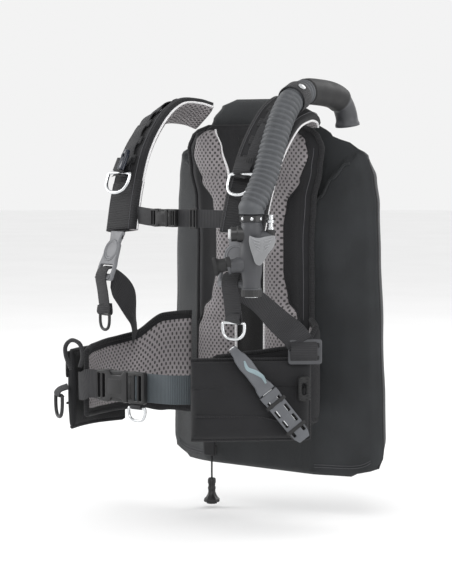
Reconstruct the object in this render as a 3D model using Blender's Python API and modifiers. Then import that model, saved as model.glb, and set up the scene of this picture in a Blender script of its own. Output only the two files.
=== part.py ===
"""Buoyancy compensator vest: air cell, padded harness, cylinder band, inflator and fittings.

Metres, +Z up, +X to the wearer's left, +Y to the rear.  The origin is the centre of the
flat rear face of the tank pad, against which the diving cylinder stands.
"""
import math

import bmesh
import bpy
from mathutils import Matrix, Vector

# Driving dimensions
CLEARANCE = 0.0004            # gap between neighbouring hard pieces
CYLINDER_RADIUS = 0.0860      # diving cylinder that the band holds
BAND_HEIGHT = 0.030           # middle of the cylinder band
BAND_FRONT = -0.0100          # the band's straight run between the tank pad and the air cell
BAND_CORNER = 0.0620
BAND_STEPS = 22
WEBBING = 0.040               # width of the waist and shoulder webbing
WEBBING_THICK = 0.0024
STERNUM_WEBBING = 0.024

CELL_OUTLINE = [              # half outline of the air cell: height, half width
    (-0.3090, 0.150), (-0.2960, 0.188), (-0.2800, 0.193), (-0.2000, 0.190), (-0.1000, 0.187),
    (0.0000, 0.184), (0.0700, 0.180), (0.1060, 0.176), (0.1400, 0.169), (0.1540, 0.150),
    (0.1680, 0.120), (0.1900, 0.090), (0.2110, 0.072), (0.2190, 0.045),
]
CELL_COLUMNS = [0.25, 0.49, 0.515, 0.58, 0.67, 0.78, 0.90, 1.0]
CELL_FRONT = -0.0260
CELL_REAR = -0.0135
CELL_CHANNEL = 0.097          # half width of the thin middle where the cylinder stands
CELL_SWEEP = 0.36             # how fast the wings run rearwards
CELL_EDGE = 0.006
CELL_BULGE = 0.048

PAD_OUTLINE = [               # half outline of the back pad: height, half width
    (-0.225, 0.090), (-0.215, 0.101), (-0.150, 0.104), (-0.050, 0.104), (0.020, 0.103),
    (0.077, 0.107), (0.120, 0.117), (0.150, 0.121), (0.170, 0.112), (0.180, 0.085),
]
PAD_COLUMNS = [0.22, 0.30, 0.50, 0.70, 0.88, 1.0]
PAD_REAR = -0.0320
PAD_CROWN = -0.0560
PAD_SPINE = -0.0470
PAD_EDGE = -0.0370

STRAP_WIDTH = 0.065
STRAP_THICK = 0.016
STRAP_ROUTE = [               # left shoulder strap: centre line and outward direction
    ((0.0880, -0.0440, 0.1960), (0.38, 0.30, 0.87)),
    ((0.0980, -0.0620, 0.2020), (0.42, 0.12, 0.88)),
    ((0.1075, -0.0900, 0.2020), (0.46, -0.12, 0.86)),
    ((0.1120, -0.1250, 0.1850), (0.36, -0.60, 0.70)),
    ((0.1130, -0.1600, 0.1430), (0.28, -0.83, 0.48)),
    ((0.1110, -0.1820, 0.0900), (0.24, -0.93, 0.30)),
    ((0.1085, -0.1960, 0.0350), (0.22, -0.95, 0.22)),
]
BUCKLE_CENTRE = Vector((0.112, -0.2120, 0.0080))    # left shoulder buckle's swivel disc
BUCKLE_FACING = Vector((0.24, -0.91, 0.34)).normalized()
RING_ACROSS = {1: 0.1010, -1: 0.1115}               # the left ring hangs clear of the hose
LOWER_ROUTE = [               # left lower shoulder webbing, buckle to waist
    ((0.1145, -0.2110, -0.0300), (0.30, -0.85, 0.40)),
    ((0.1220, -0.1760, -0.0560), (0.40, -0.60, 0.65)),
    ((0.1340, -0.1480, -0.0830), (0.55, -0.65, 0.50)),
    ((0.1490, -0.1360, -0.0995), (0.72, -0.68, 0.10)),
]
RIGHT_LOWER_END = ((-0.1450, -0.1300, -0.1200), (-0.90, -0.44, 0.0))

RIGHT_WING = [                # right waist wing: centre line, outward direction, height
    ((-0.1100, -0.0460, -0.1600), (-0.40, 0.90, 0), 0.146),
    ((-0.1430, -0.0690, -0.1610), (-0.74, 0.67, 0), 0.140),
    ((-0.1640, -0.1100, -0.1710), (-0.96, 0.28, 0), 0.108),
    ((-0.1700, -0.1550, -0.1750), (-1.00, 0.00, 0), 0.104),
    ((-0.1630, -0.1980, -0.1780), (-0.97, -0.25, 0), 0.100),
    ((-0.1530, -0.2230, -0.1800), (-0.93, -0.37, 0), 0.094),
]
LEFT_WING = [
    ((0.1100, -0.0460, -0.1600), (0.40, 0.90, 0), 0.146),
    ((0.1300, -0.0620, -0.1610), (0.85, 0.53, 0), 0.132),
    ((0.1300, -0.0900, -0.1710), (0.93, -0.37, 0), 0.108),
    ((0.1080, -0.1150, -0.1750), (0.75, -0.66, 0), 0.104),
    ((0.0780, -0.1440, -0.1780), (0.69, -0.72, 0), 0.100),
    ((0.0450, -0.1760, -0.1800), (0.69, -0.72, 0), 0.094),
]
WING_THICK = 0.012
RIGHT_POCKET = [
    ((-0.1760, -0.2290, -0.1900), (-0.93, -0.37, 0)),
    ((-0.1880, -0.1960, -0.1900), (-0.97, -0.25, 0)),
    ((-0.1950, -0.1550, -0.1900), (-1.00, 0.00, 0)),
    ((-0.1890, -0.1080, -0.1900), (-0.97, 0.22, 0)),
]
LEFT_POCKET = [
    ((0.0400, -0.2210, -0.1900), (0.69, -0.72, 0)),
    ((0.0730, -0.1890, -0.1900), (0.70, -0.71, 0)),
    ((0.1120, -0.1490, -0.1900), (0.72, -0.69, 0)),
    ((0.1520, -0.1050, -0.1900), (0.76, -0.65, 0)),
]
POCKET_HEIGHT = 0.112
LEFT_POCKET_THICK = 0.026
RIGHT_POCKET_THICK = 0.018

WAIST_HEIGHT = -0.1780        # middle of the waist webbing
WAIST_FRONT = -0.2380         # the waist buckle's middle, front to back
WAIST_BUCKLE = -0.0855        # middle of the waist buckle's socket along X
WAIST_RING = -0.0430
STERNUM_HEIGHT = 0.0550
STERNUM_FRONT = -0.2080
STERNUM_BUCKLE = -0.0250

HOSE_RADIUS = 0.0175
HOSE_ROUTE = [                # elbow on the air cell, over the shoulder, down to the inflator
    (0.1210, 0.0220, 0.1810), (0.1210, 0.0180, 0.1980), (0.1230, 0.0040, 0.2140), (0.1240, -0.0180, 0.2230),
    (0.1260, -0.0520, 0.2265), (0.1300, -0.0880, 0.2260), (0.1390, -0.1280, 0.2140), (0.1440, -0.1560, 0.1880),
    (0.1475, -0.1790, 0.1500), (0.1500, -0.1970, 0.1150), (0.1510, -0.2170, 0.0860), (0.1510, -0.2270, 0.0720),
]
ELBOW_POINTS = 9              # how many of the smoothed route's steps belong to the elbow
HOSE_STEPS = 4
INFLATOR = Vector((0.151, -0.2270, 0.0000))         # inflator's upright axis
INFLATOR_TOP = 0.0640
INFLATOR_RADIUS = 0.0150
SIDEWAYS = Vector((0.766, 0.643, 0.0))              # the inflator's ports face along this
OUTWARDS = Vector((0.643, -0.766, 0.0))             # the inflate lever faces this way

SHEATH_TOP = Vector((0.1270, -0.1640, -0.1780))
KNIFE_AXIS = Vector((0.426, 0.453, -0.783)).normalized()
POCKET_FACING = Vector((0.716, -0.698, 0.0)).normalized()

VALVE_X = -0.1440
VALVE_Y = 0.0480
DUMP_X = -0.0800
DUMP_Y = -0.0360
DUMP_GUIDE_END = -0.2980
DUMP_CORD_LENGTH = 0.0320
DUMP_CORD_RADIUS = 0.0014

COLOURS = {                   # base colour, roughness, metallic
    "bladder_nylon": ((0.022, 0.023, 0.025), 0.75, 0.0),
    "black_fabric": ((0.015, 0.015, 0.016), 0.85, 0.0),
    "grey_mesh": ((0.21, 0.19, 0.20), 0.9, 0.0),
    "webbing": ((0.012, 0.012, 0.013), 0.8, 0.0),
    "black_plastic": ((0.02, 0.02, 0.021), 0.45, 0.0),
    "grey_plastic": ((0.14, 0.145, 0.155), 0.45, 0.0),
    "pale_plastic": ((0.21, 0.22, 0.23), 0.4, 0.0),
    "hose_rubber": ((0.075, 0.078, 0.08), 0.5, 0.0),
    "steel": ((0.6, 0.6, 0.61), 0.2, 1.0),
    "whistle_plastic": ((0.03, 0.04, 0.06), 0.25, 0.0),
}

model = None


# Scene and mesh helpers

def clear_scene():
    for item in list(bpy.data.objects):
        bpy.data.objects.remove(item, do_unlink=True)


def material(name):
    """Return the named Principled material."""
    found = bpy.data.materials.get(name)
    if found:
        return found
    colour, roughness, metallic = COLOURS[name]
    made = bpy.data.materials.new(name)
    made.use_nodes = True
    shader = made.node_tree.nodes["Principled BSDF"]
    shader.inputs["Base Color"].default_value = (*colour, 1.0)
    shader.inputs["Roughness"].default_value = roughness
    shader.inputs["Metallic"].default_value = metallic
    return made


def place(name, data, finish, matrix=None):
    """Link a mesh or curve into the model as one named sub-part."""
    item = bpy.data.objects.new(name, data)
    data.materials.append(material(finish))
    if matrix is not None:
        item.matrix_world = matrix
    model.objects.link(item)
    return item


def mesh_from(name, shape):
    """Turn a bmesh into a mesh with smooth round faces and its normals outward."""
    bmesh.ops.recalc_face_normals(shape, faces=shape.faces)
    data = bpy.data.meshes.new(name)
    shape.to_mesh(data)
    shape.free()
    data.shade_smooth()
    data.set_sharp_from_angle(angle=math.radians(35))
    return data


def axes(centre, along, up):
    """Matrix whose Z runs along a direction and whose Y is as near to up as it can be."""
    z_axis = Vector(along).normalized()
    x_axis = Vector(up).cross(z_axis).normalized()
    y_axis = z_axis.cross(x_axis)
    turn = Matrix((x_axis, y_axis, z_axis)).transposed().to_4x4()
    return Matrix.Translation(centre) @ turn


def spline(points, steps):
    """Points of a smooth curve through the given ones (Catmull-Rom)."""
    points = [Vector(point) for point in points]
    first = points[0] * 2 - points[1]
    last = points[-1] * 2 - points[-2]
    guide = [first, *points, last]
    made = []
    for index in range(1, len(guide) - 2):
        before, start, end, after = guide[index - 1:index + 3]
        for step in range(steps):
            t = step / steps
            made.append(0.5 * (2 * start + (end - before) * t
                               + (2 * before - 5 * start + 4 * end - after) * t ** 2
                               + (3 * start - before - 3 * end + after) * t ** 3))
    made.append(points[-1])
    return made


def skin(name, rings, finish, closed=False):
    """Join equal rings of points into one closed body; closed joins the last to the first."""
    shape = bmesh.new()
    loops = [[shape.verts.new(point) for point in ring] for ring in rings]
    pairs = list(zip(loops, loops[1:]))
    if closed:
        pairs.append((loops[-1], loops[0]))
    for lower, upper in pairs:
        for index in range(len(lower)):
            after = (index + 1) % len(lower)
            shape.faces.new((lower[index], lower[after], upper[after], upper[index]))
    if not closed:
        shape.faces.new(loops[0])
        shape.faces.new(loops[-1])
    return place(name, mesh_from(name, shape), finish)


def band(name, stations, width, thick, finish, steps=3, closed=False):
    """A flat band along a route; each station is a centre, an outward direction and maybe a width."""
    centres = [Vector(station[0]) for station in stations]
    outwards = [Vector(station[1]) for station in stations]
    widths = [Vector((station[2] if len(station) > 2 else width, 0, 0)) for station in stations]
    if not closed:
        centres, outwards, widths = (spline(each, steps) for each in (centres, outwards, widths))
    rings = []
    for index, centre in enumerate(centres):
        before = centres[index - 1] if index or closed else centre
        after = centres[(index + 1) % len(centres)] if index + 1 < len(centres) or closed else centre
        tangent = (after - before).normalized()
        across = tangent.cross(outwards[index]).normalized() * widths[index].x / 2
        outward = across.cross(tangent).normalized() * thick / 2
        rings.append([centre + across + outward, centre - across + outward,
                      centre - across - outward, centre + across - outward])
    return skin(name, rings, finish, closed)


def block(name, size, matrix, finish, bevel=0.0):
    """A box with rounded edges."""
    shape = bmesh.new()
    bmesh.ops.create_cube(shape, size=1.0, matrix=Matrix.Diagonal((*size, 1.0)))
    item = place(name, mesh_from(name, shape), finish, matrix)
    if bevel:
        round_edges(item, bevel)
    return item


def round_edges(item, width):
    """Chamfer the sharp edges of a piece."""
    bevel = item.modifiers.new("round", "BEVEL")
    bevel.width = width
    bevel.segments = 1
    bevel.limit_method = "ANGLE"
    bevel.angle_limit = math.radians(50)


def plate(name, outline, thick, matrix, finish, bevel=0.0):
    """A flat plate of the given outline, centred on its plane."""
    shape = bmesh.new()
    base = shape.faces.new([shape.verts.new((x, y, -thick / 2)) for x, y in outline])
    grown = bmesh.ops.extrude_face_region(shape, geom=[base])
    lifted = [part for part in grown["geom"] if isinstance(part, bmesh.types.BMVert)]
    bmesh.ops.translate(shape, verts=lifted, vec=(0, 0, thick))
    item = place(name, mesh_from(name, shape), finish, matrix)
    if bevel:
        round_edges(item, bevel)
    return item


def rod(name, radius, length, matrix, finish, sides=16, end_radius=None):
    """A cylinder or cone along its own Z, centred."""
    shape = bmesh.new()
    bmesh.ops.create_cone(shape, cap_ends=True, segments=sides, radius1=radius,
                          radius2=radius if end_radius is None else end_radius, depth=length)
    return place(name, mesh_from(name, shape), finish, matrix)


def turned(name, profile, matrix, finish, steps=16):
    """A turned piece; the profile is (radius, height) from top to bottom, ends on the axis."""
    data = bpy.data.meshes.new(name)
    points = [(radius, 0, height) for radius, height in profile]
    data.from_pydata(points, [(i, i + 1) for i in range(len(points) - 1)], [])
    item = place(name, data, finish, matrix)
    screw = item.modifiers.new("turn", "SCREW")
    screw.axis = "Z"
    screw.steps = steps
    screw.render_steps = steps
    screw.use_merge_vertices = True
    screw.merge_threshold = 0.0001
    return item


def wire(name, points, radius, finish, cyclic=False, matrix=None, sides=2):
    """A round wire or tube through the given points."""
    data = bpy.data.curves.new(name, "CURVE")
    data.dimensions = "3D"
    data.bevel_depth = radius
    data.bevel_resolution = sides
    data.use_fill_caps = True
    run = data.splines.new("POLY")
    run.points.add(len(points) - 1)
    for point, place_at in zip(run.points, points):
        point.co = (*place_at, 1.0)
    run.use_cyclic_u = cyclic
    return place(name, data, finish, matrix)


def combine(item, others, operation="UNION"):
    """Join other pieces to this one, or cut them from it, and leave one solid."""
    for other in others:
        boolean = item.modifiers.new(operation.lower(), "BOOLEAN")
        boolean.operation = operation
        boolean.object = other
        model.objects.unlink(other)
        cutters.objects.link(other)
        other.hide_render = True
        other.display_type = "WIRE"
    return item


def d_outline(width, height, corner=5):
    """A D-ring's centre line: straight bar on top, round bow below, in its own X-Y plane."""
    half = width / 2
    points = [(-half, 0.0), (half, 0.0)]
    for step in range(1, 2 * corner):
        angle = math.pi * step / (2 * corner)
        points.append((half * math.cos(angle), -0.25 * height - 0.75 * height * math.sin(angle)))
    points.insert(2, (half, -0.25 * height))
    points.append((-half, -0.25 * height))
    return [(x, y, 0.0) for x, y in points]


def d_ring(name, width, height, radius, top, facing, finish):
    """A D-ring hanging from its straight bar, which is centred on top."""
    return wire(name, d_outline(width, height), radius, finish, True, axes(top, facing, (0, 0, 1)), 1)


def side_name(sign, word):
    return ("left_" if sign > 0 else "right_") + word


def flip(point, sign):
    """Mirror a left-hand point or direction to the side of the sign."""
    return Vector((point[0] * sign, point[1], point[2]))


def lookup(table, height):
    """Straight-line value of an outline table at a height."""
    for (low, start), (high, end) in zip(table, table[1:]):
        if height <= high:
            return start + (end - start) * (height - low) / (high - low)
    return table[-1][1]


# Soft shell

def cell_front(x):
    """Front face of the air cell at a distance from the middle."""
    return CELL_FRONT + CELL_SWEEP * max(0.0, abs(x) - CELL_CHANNEL)


def cell_rear(x, half, height):
    """Rear face of the air cell: thin behind the cylinder, full in the wings."""
    reach = max(0.0, abs(x) - CELL_CHANNEL)
    if reach == 0.0 or half <= CELL_CHANNEL:
        return CELL_REAR
    share = min(1.0, reach / (half - CELL_CHANNEL))
    ends = min(1.0, (height - CELL_OUTLINE[0][0]) / 0.05, (0.185 - height) / 0.07)
    bulge = CELL_BULGE * max(0.0, ends) * math.sin(math.pi * share) ** 0.6
    return max(CELL_REAR, cell_front(x) + CELL_EDGE) + bulge


def section(columns, half, height, front, rear):
    """Closed ring of points: the front from right to left, then the rear back again."""
    across = [-s * half for s in reversed(columns)] + [0.0] + [s * half for s in columns]
    ring = [(x, front(x), height) for x in across]
    ring += [(x, rear(x), height) for x in reversed(across)]
    return ring


def make_air_cell():
    rings = []
    for height, half in CELL_OUTLINE:
        rings.append(section(CELL_COLUMNS, half, height, cell_front,
                             lambda x, half=half, height=height: cell_rear(x, half, height)))
    skin("air_cell", rings, "bladder_nylon")


def pad_front(x, half):
    """Front face of the back pad: recessed spine, two crowned cushions, thin edges."""
    share = abs(x) / half
    if share < 0.26:
        return PAD_SPINE
    if share < 0.6:
        return PAD_CROWN
    return PAD_CROWN + (PAD_EDGE - PAD_CROWN) * ((share - 0.6) / 0.4) ** 1.5


def make_back():
    """Back pad, its plate, and the pad that the cylinder stands against."""
    rings = []
    for height, half in PAD_OUTLINE:
        rings.append(section(PAD_COLUMNS, half, height,
                             lambda x, half=half: pad_front(x, half), lambda x: PAD_REAR))
    skin("back_pad", rings, "grey_mesh")
    block("back_plate", (0.150, 0.0048, 0.340), Matrix.Translation((0, -0.0290, -0.015)),
          "black_plastic", 0.002)
    block("tank_pad", (0.110, 0.0070, 0.300), Matrix.Translation((0, -0.0035, -0.020)),
          "black_plastic", 0.002)


def make_tank_band():
    """Webbing loop round the cylinder, its cam buckle's base and lever, and the carry handle."""
    centre = Vector((0, CYLINDER_RADIUS, BAND_HEIGHT))
    radius = CYLINDER_RADIUS + 0.0030
    corner = Vector((BAND_CORNER, BAND_FRONT - centre.y))
    start = math.atan2(corner.x, -corner.y) + math.acos(radius / corner.length)
    stations = []
    for step in range(BAND_STEPS + 1):
        angle = -math.pi / 2 + start + (2 * math.pi - 2 * start) * step / BAND_STEPS
        outward = Vector((math.cos(angle), math.sin(angle), 0))
        stations.append((centre + outward * radius, outward))
    for x in (-BAND_CORNER, BAND_CORNER):
        stations.append(((x, BAND_FRONT, centre.z), (math.copysign(0.5, x), -1, 0)))
    band("tank_band", stations, 0.048, WEBBING_THICK, "webbing", closed=True)
    facing = Vector((0.766, 0.643, 0))
    seat = centre + facing * (radius + 0.0062)
    frame = axes(seat, facing, (0, 0, 1))
    base = block("cam_buckle_base", (0.046, 0.060, 0.006), frame, "black_plastic", 0.001)
    slot = block("cam_base_slot", (0.012, 0.050, 0.020), frame, "black_plastic")
    combine(base, [slot], "DIFFERENCE")
    lever_seat = centre + facing * (radius + 0.0125)
    block("cam_buckle_lever", (0.052, 0.056, 0.005), axes(lever_seat, facing, (0, 0, 1)),
          "black_plastic", 0.0015)
    handle = [(-0.055, -0.0030, 0.160), (-0.055, 0.0120, 0.178), (-0.045, 0.0180, 0.194),
              (0, 0.0200, 0.200), (0.045, 0.0180, 0.194), (0.055, 0.0120, 0.178), (0.055, -0.0030, 0.160)]
    wire("carry_handle", spline(handle, 3), 0.0075, "black_plastic", sides=1)


# Shoulders

def make_shoulder(sign):
    """One shoulder strap with its webbing, ring, buckle and lower webbing."""
    route = [(flip(centre, sign), flip(out, sign)) for centre, out in STRAP_ROUTE]
    band(side_name(sign, "shoulder_strap"), route, STRAP_WIDTH, STRAP_THICK, "black_fabric")
    lift = STRAP_THICK / 2 + WEBBING_THICK / 2 + CLEARANCE
    over = []
    for centre, out in route[1:6]:
        over.append((centre + out.normalized() * (lift + 0.0012), out))
    band(side_name(sign, "strap_webbing"), over, 0.026, WEBBING_THICK, "webbing", steps=4)
    make_shoulder_buckle(sign)
    lower = [(flip(centre, sign), flip(out, sign)) for centre, out in LOWER_ROUTE]
    if sign < 0:
        lower.append(RIGHT_LOWER_END)
    band(side_name(sign, "lower_webbing"), lower, 0.036, WEBBING_THICK, "webbing")


def make_shoulder_buckle(sign):
    """Swivel disc on the strap's end, and the hanging frame that pivots round it."""
    facing = flip(BUCKLE_FACING, sign)
    centre = flip(BUCKLE_CENTRE, sign)
    turn = axes(centre, facing, (0, 0, 1))
    disc = rod(side_name(sign, "buckle_disc"), 0.0100, 0.0070, turn, "grey_plastic", 20)
    tongue = block("buckle_tongue", (0.030, 0.030, 0.003),
                   turn @ Matrix.Translation((0, 0.0100, -0.0060)), "grey_plastic", 0.001)
    neck = rod("buckle_neck", 0.0090, 0.0060, turn @ Matrix.Translation((0, 0, -0.0045)), "grey_plastic", 20)
    combine(disc, [tongue, neck])
    outline = []
    for step in range(9):
        angle = math.pi * step / 8
        outline.append((0.0160 * math.cos(angle), 0.0150 * math.sin(angle)))
    outline += [(-0.0210, -0.0130), (-0.0210, -0.0380), (-0.0150, -0.0440),
                (0.0150, -0.0440), (0.0210, -0.0380), (0.0210, -0.0130)]
    frame = plate(side_name(sign, "buckle_frame"), outline, 0.0052, turn, "grey_plastic", 0.0008)
    hole = rod("disc_hole", 0.0104, 0.03, turn, "grey_plastic", 20)
    slot = block("frame_slot", (0.0330, 0.0140, 0.03), turn @ Matrix.Translation((0, -0.0270, 0)),
                 "grey_plastic")
    combine(frame, [hole, slot], "DIFFERENCE")
    make_pull(sign, turn)


def make_pull(sign, turn):
    """Free end of the webbing hanging from the frame's slot, with its pull ring."""
    local = [((0, -0.0230, -0.0040), (0, 0.3, 1)), ((0, -0.0262, 0.0010), (0, 1, 0.4)),
             ((0, -0.0300, 0.0054), (0, 0.5, 1)), ((0, -0.0420, 0.0056), (0, 0, 1))]
    stations = [(turn @ Vector(centre), turn.to_3x3() @ Vector(out)) for centre, out in local]
    end = stations[-1][0]
    outward = flip((0.24, -0.97, 0.0), sign)
    stations.append((end + Vector((0, 0.004, -0.020)), outward))
    stations.append((end + Vector((0, 0.008, -0.044)), outward))
    band(side_name(sign, "pull_webbing"), stations, 0.025, 0.0020, "webbing", steps=2)
    top = stations[-1][0] + Vector((0, 0, -0.0052))
    width = 0.036 if sign > 0 else 0.028
    d_ring(side_name(sign, "pull_ring"), width, 0.026, 0.0021, top, outward, "black_plastic")


def make_shoulder_ring(sign):
    """Steel D-ring lying on the strap's outer face."""
    centre = Vector((RING_ACROSS[sign], -0.1740, 0.1100))
    out = Vector((0.26, -0.88, 0.38)).normalized()
    along = Vector((0.0, -0.38, -0.92)).normalized()
    lift = STRAP_THICK / 2 + 0.0110
    top = centre + out * lift
    ring = d_ring(side_name(sign, "shoulder_ring"), 0.046, 0.034, 0.0024,
                  flip(top, sign), flip(out, sign), "steel")
    ring.matrix_world = axes(flip(top, sign), flip(out, sign), flip(-along, sign))


# Waist

def make_waist():
    band("right_waist_wing", RIGHT_WING, 0.1, WING_THICK, "grey_mesh")
    band("left_waist_wing", LEFT_WING, 0.1, WING_THICK, "grey_mesh")
    band("right_pocket", RIGHT_POCKET, POCKET_HEIGHT, RIGHT_POCKET_THICK, "black_fabric", steps=2)
    band("left_pocket", LEFT_POCKET, POCKET_HEIGHT, LEFT_POCKET_THICK, "black_fabric", steps=2)
    make_waist_webbing()
    make_waist_buckle()
    make_waist_fittings()


def make_waist_webbing():
    """Waist webbing from each wing to the buckle."""
    right = [((-0.1590, -0.2310, WAIST_HEIGHT - 0.006), (-0.55, -0.83, 0)),
             ((-0.1470, -0.2375, WAIST_HEIGHT - 0.005), (-0.35, -0.94, 0)),
             ((-0.1330, -0.2395, WAIST_HEIGHT), (0, -1, 0)),
             ((-0.1180, -0.2390, WAIST_HEIGHT), (0, -1, 0))]
    band("right_waist_webbing", right, WEBBING, WEBBING_THICK, "webbing")
    rear = WAIST_FRONT + 0.0085
    left = [((-0.0420, rear, WAIST_HEIGHT), (0, -1, 0)), ((-0.0080, rear, WAIST_HEIGHT), (0, -1, 0)),
            ((0.0100, rear + 0.0020, WAIST_HEIGHT), (0.30, -0.95, 0)),
            ((0.0240, rear + 0.0150, WAIST_HEIGHT), (0.75, -0.66, 0)),
            ((0.0340, rear + 0.0300, WAIST_HEIGHT), (0.78, -0.62, 0)),
            ((0.0460, rear + 0.0435, WAIST_HEIGHT), (0.72, -0.69, 0))]
    band("left_waist_webbing", left, WEBBING, WEBBING_THICK, "webbing")


def side_release(prefix, centre, size, depth, plug_length):
    """A side-release buckle along X: a hollow socket, and a plug whose tongue stands in it."""
    length, height, thick = size
    socket = block(prefix + "_socket", (length, thick, height), Matrix.Translation(centre),
                   "grey_plastic", thick * 0.12)
    hollow = block(prefix + "_hollow", (depth * 2, thick * 0.52, height * 0.78),
                   Matrix.Translation(centre + Vector((length / 2, 0, 0))), "grey_plastic")
    combine(socket, [hollow], "DIFFERENCE")
    tongue_length = depth - 0.001
    mouth = centre + Vector((length / 2, 0, 0))
    plug = block(prefix + "_plug", (plug_length, thick * 0.8, height),
                 Matrix.Translation(mouth + Vector((plug_length / 2 + 0.0006, 0, 0))), "grey_plastic", thick * 0.1)
    tongue = block(prefix + "_tongue", (tongue_length + 0.004, thick * 0.38, height * 0.66),
                   Matrix.Translation(mouth + Vector((0.002 - tongue_length / 2, 0, 0))), "grey_plastic")
    combine(plug, [tongue])


def make_waist_buckle():
    centre = Vector((WAIST_BUCKLE, WAIST_FRONT, WAIST_HEIGHT))
    side_release("waist_buckle", centre, (0.056, 0.045, 0.013), 0.026, 0.030)


def make_waist_fittings():
    """Rings, grab loop and pull handle round the waist."""
    waist_top = Vector((WAIST_RING, WAIST_FRONT, WAIST_HEIGHT - 0.0255))
    d_ring("waist_ring", 0.034, 0.022, 0.0020, waist_top, (0, -1, 0), "steel")
    utility_top = Vector((-0.1905, -0.2400, -0.1960))
    d_ring("utility_ring", 0.034, 0.036, 0.0026, utility_top, (-0.45, -0.89, 0), "black_plastic")
    loop = [(-0.1620, -0.2440, -0.1600), (-0.1700, -0.2460, -0.1430), (-0.1720, -0.2450, -0.1280),
            (-0.1620, -0.2430, -0.1190), (-0.1480, -0.2410, -0.1240), (-0.1420, -0.2420, -0.1400),
            (-0.1450, -0.2440, -0.1560)]
    wire("grab_loop", spline(loop, 3), 0.0045, "webbing", sides=1)
    turn = axes((0.1607, -0.1275, -0.1740), POCKET_FACING, (0, 0, 1))
    block("pouch_handle", (0.018, 0.036, 0.010), turn, "black_plastic", 0.003)
    ladder = axes((0.1600, -0.1240, -0.1240), POCKET_FACING, (0, 0, 1))
    frame = block("ladder_lock", (0.046, 0.034, 0.005), ladder, "black_plastic", 0.001)
    gaps = []
    for offset in (-0.0075, 0.0075):
        gaps.append(block("ladder_gap", (0.034, 0.007, 0.02), ladder @ Matrix.Translation((0, offset, 0)),
                          "black_plastic"))
    combine(frame, gaps, "DIFFERENCE")


# Chest

def make_sternum():
    """Sternum strap between the shoulder straps, with its buckle."""
    level = STERNUM_HEIGHT
    right = [((-0.0720, -0.1980, level + 0.002), (-0.35, -0.94, 0)),
             ((-0.0560, -0.2040, level + 0.001), (-0.25, -0.97, 0)),
             ((-0.0425, -0.2075, level), (-0.10, -1.0, 0))]
    band("right_sternum_webbing", right, STERNUM_WEBBING, 0.0018, "webbing")
    rear = STERNUM_FRONT + 0.0070
    left = [((-0.0010, rear, level), (0, -1, 0)), ((0.0400, rear, level), (0, -1, 0)),
            ((0.0720, rear + 0.0040, level), (0.20, -0.98, 0))]
    band("left_sternum_webbing", left, STERNUM_WEBBING, 0.0018, "webbing")
    centre = Vector((STERNUM_BUCKLE, STERNUM_FRONT, level))
    side_release("sternum_buckle", centre, (0.030, 0.025, 0.010), 0.014, 0.013)


def make_whistle():
    turn = axes((-0.1020, -0.1790, 0.1260), (-0.26, -0.88, 0.38), (0, 0, 1))
    block("whistle", (0.012, 0.034, 0.007), turn @ Matrix.Translation((0, 0, 0.0180)), "whistle_plastic", 0.002)


# Inflator

def make_hose():
    """Elbow on the air cell and the corrugated hose that leaves it, parted by a square cut."""
    route = spline(HOSE_ROUTE, HOSE_STEPS)
    joint = route[ELBOW_POINTS]
    along = (route[ELBOW_POINTS + 1] - route[ELBOW_POINTS - 1]).normalized()
    elbow = route[:ELBOW_POINTS] + [joint - along * 0.0030, joint - along * CLEARANCE]
    hose = [joint + along * CLEARANCE, joint + along * 0.0030] + route[ELBOW_POINTS + 1:]
    hose.append(Vector((INFLATOR.x, INFLATOR.y, INFLATOR_TOP + CLEARANCE)))
    wire("hose_elbow", elbow, HOSE_RADIUS - 0.0010, "grey_plastic", sides=2)
    wire("corrugated_hose", hose, HOSE_RADIUS, "hose_rubber", sides=2)
    start, end = Vector((0.1345, -0.1080, 0.2212)), Vector((0.1390, -0.1280, 0.2140))
    keeper = axes((start + end) / 2, end - start, (0, 0, 1))
    sleeve = rod("hose_keeper", HOSE_RADIUS + 0.0029, 0.022, keeper, "black_fabric", 16)
    bore = rod("keeper_bore", HOSE_RADIUS + 0.0014, 0.050, keeper, "black_fabric", 16)
    combine(sleeve, [bore], "DIFFERENCE")


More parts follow.
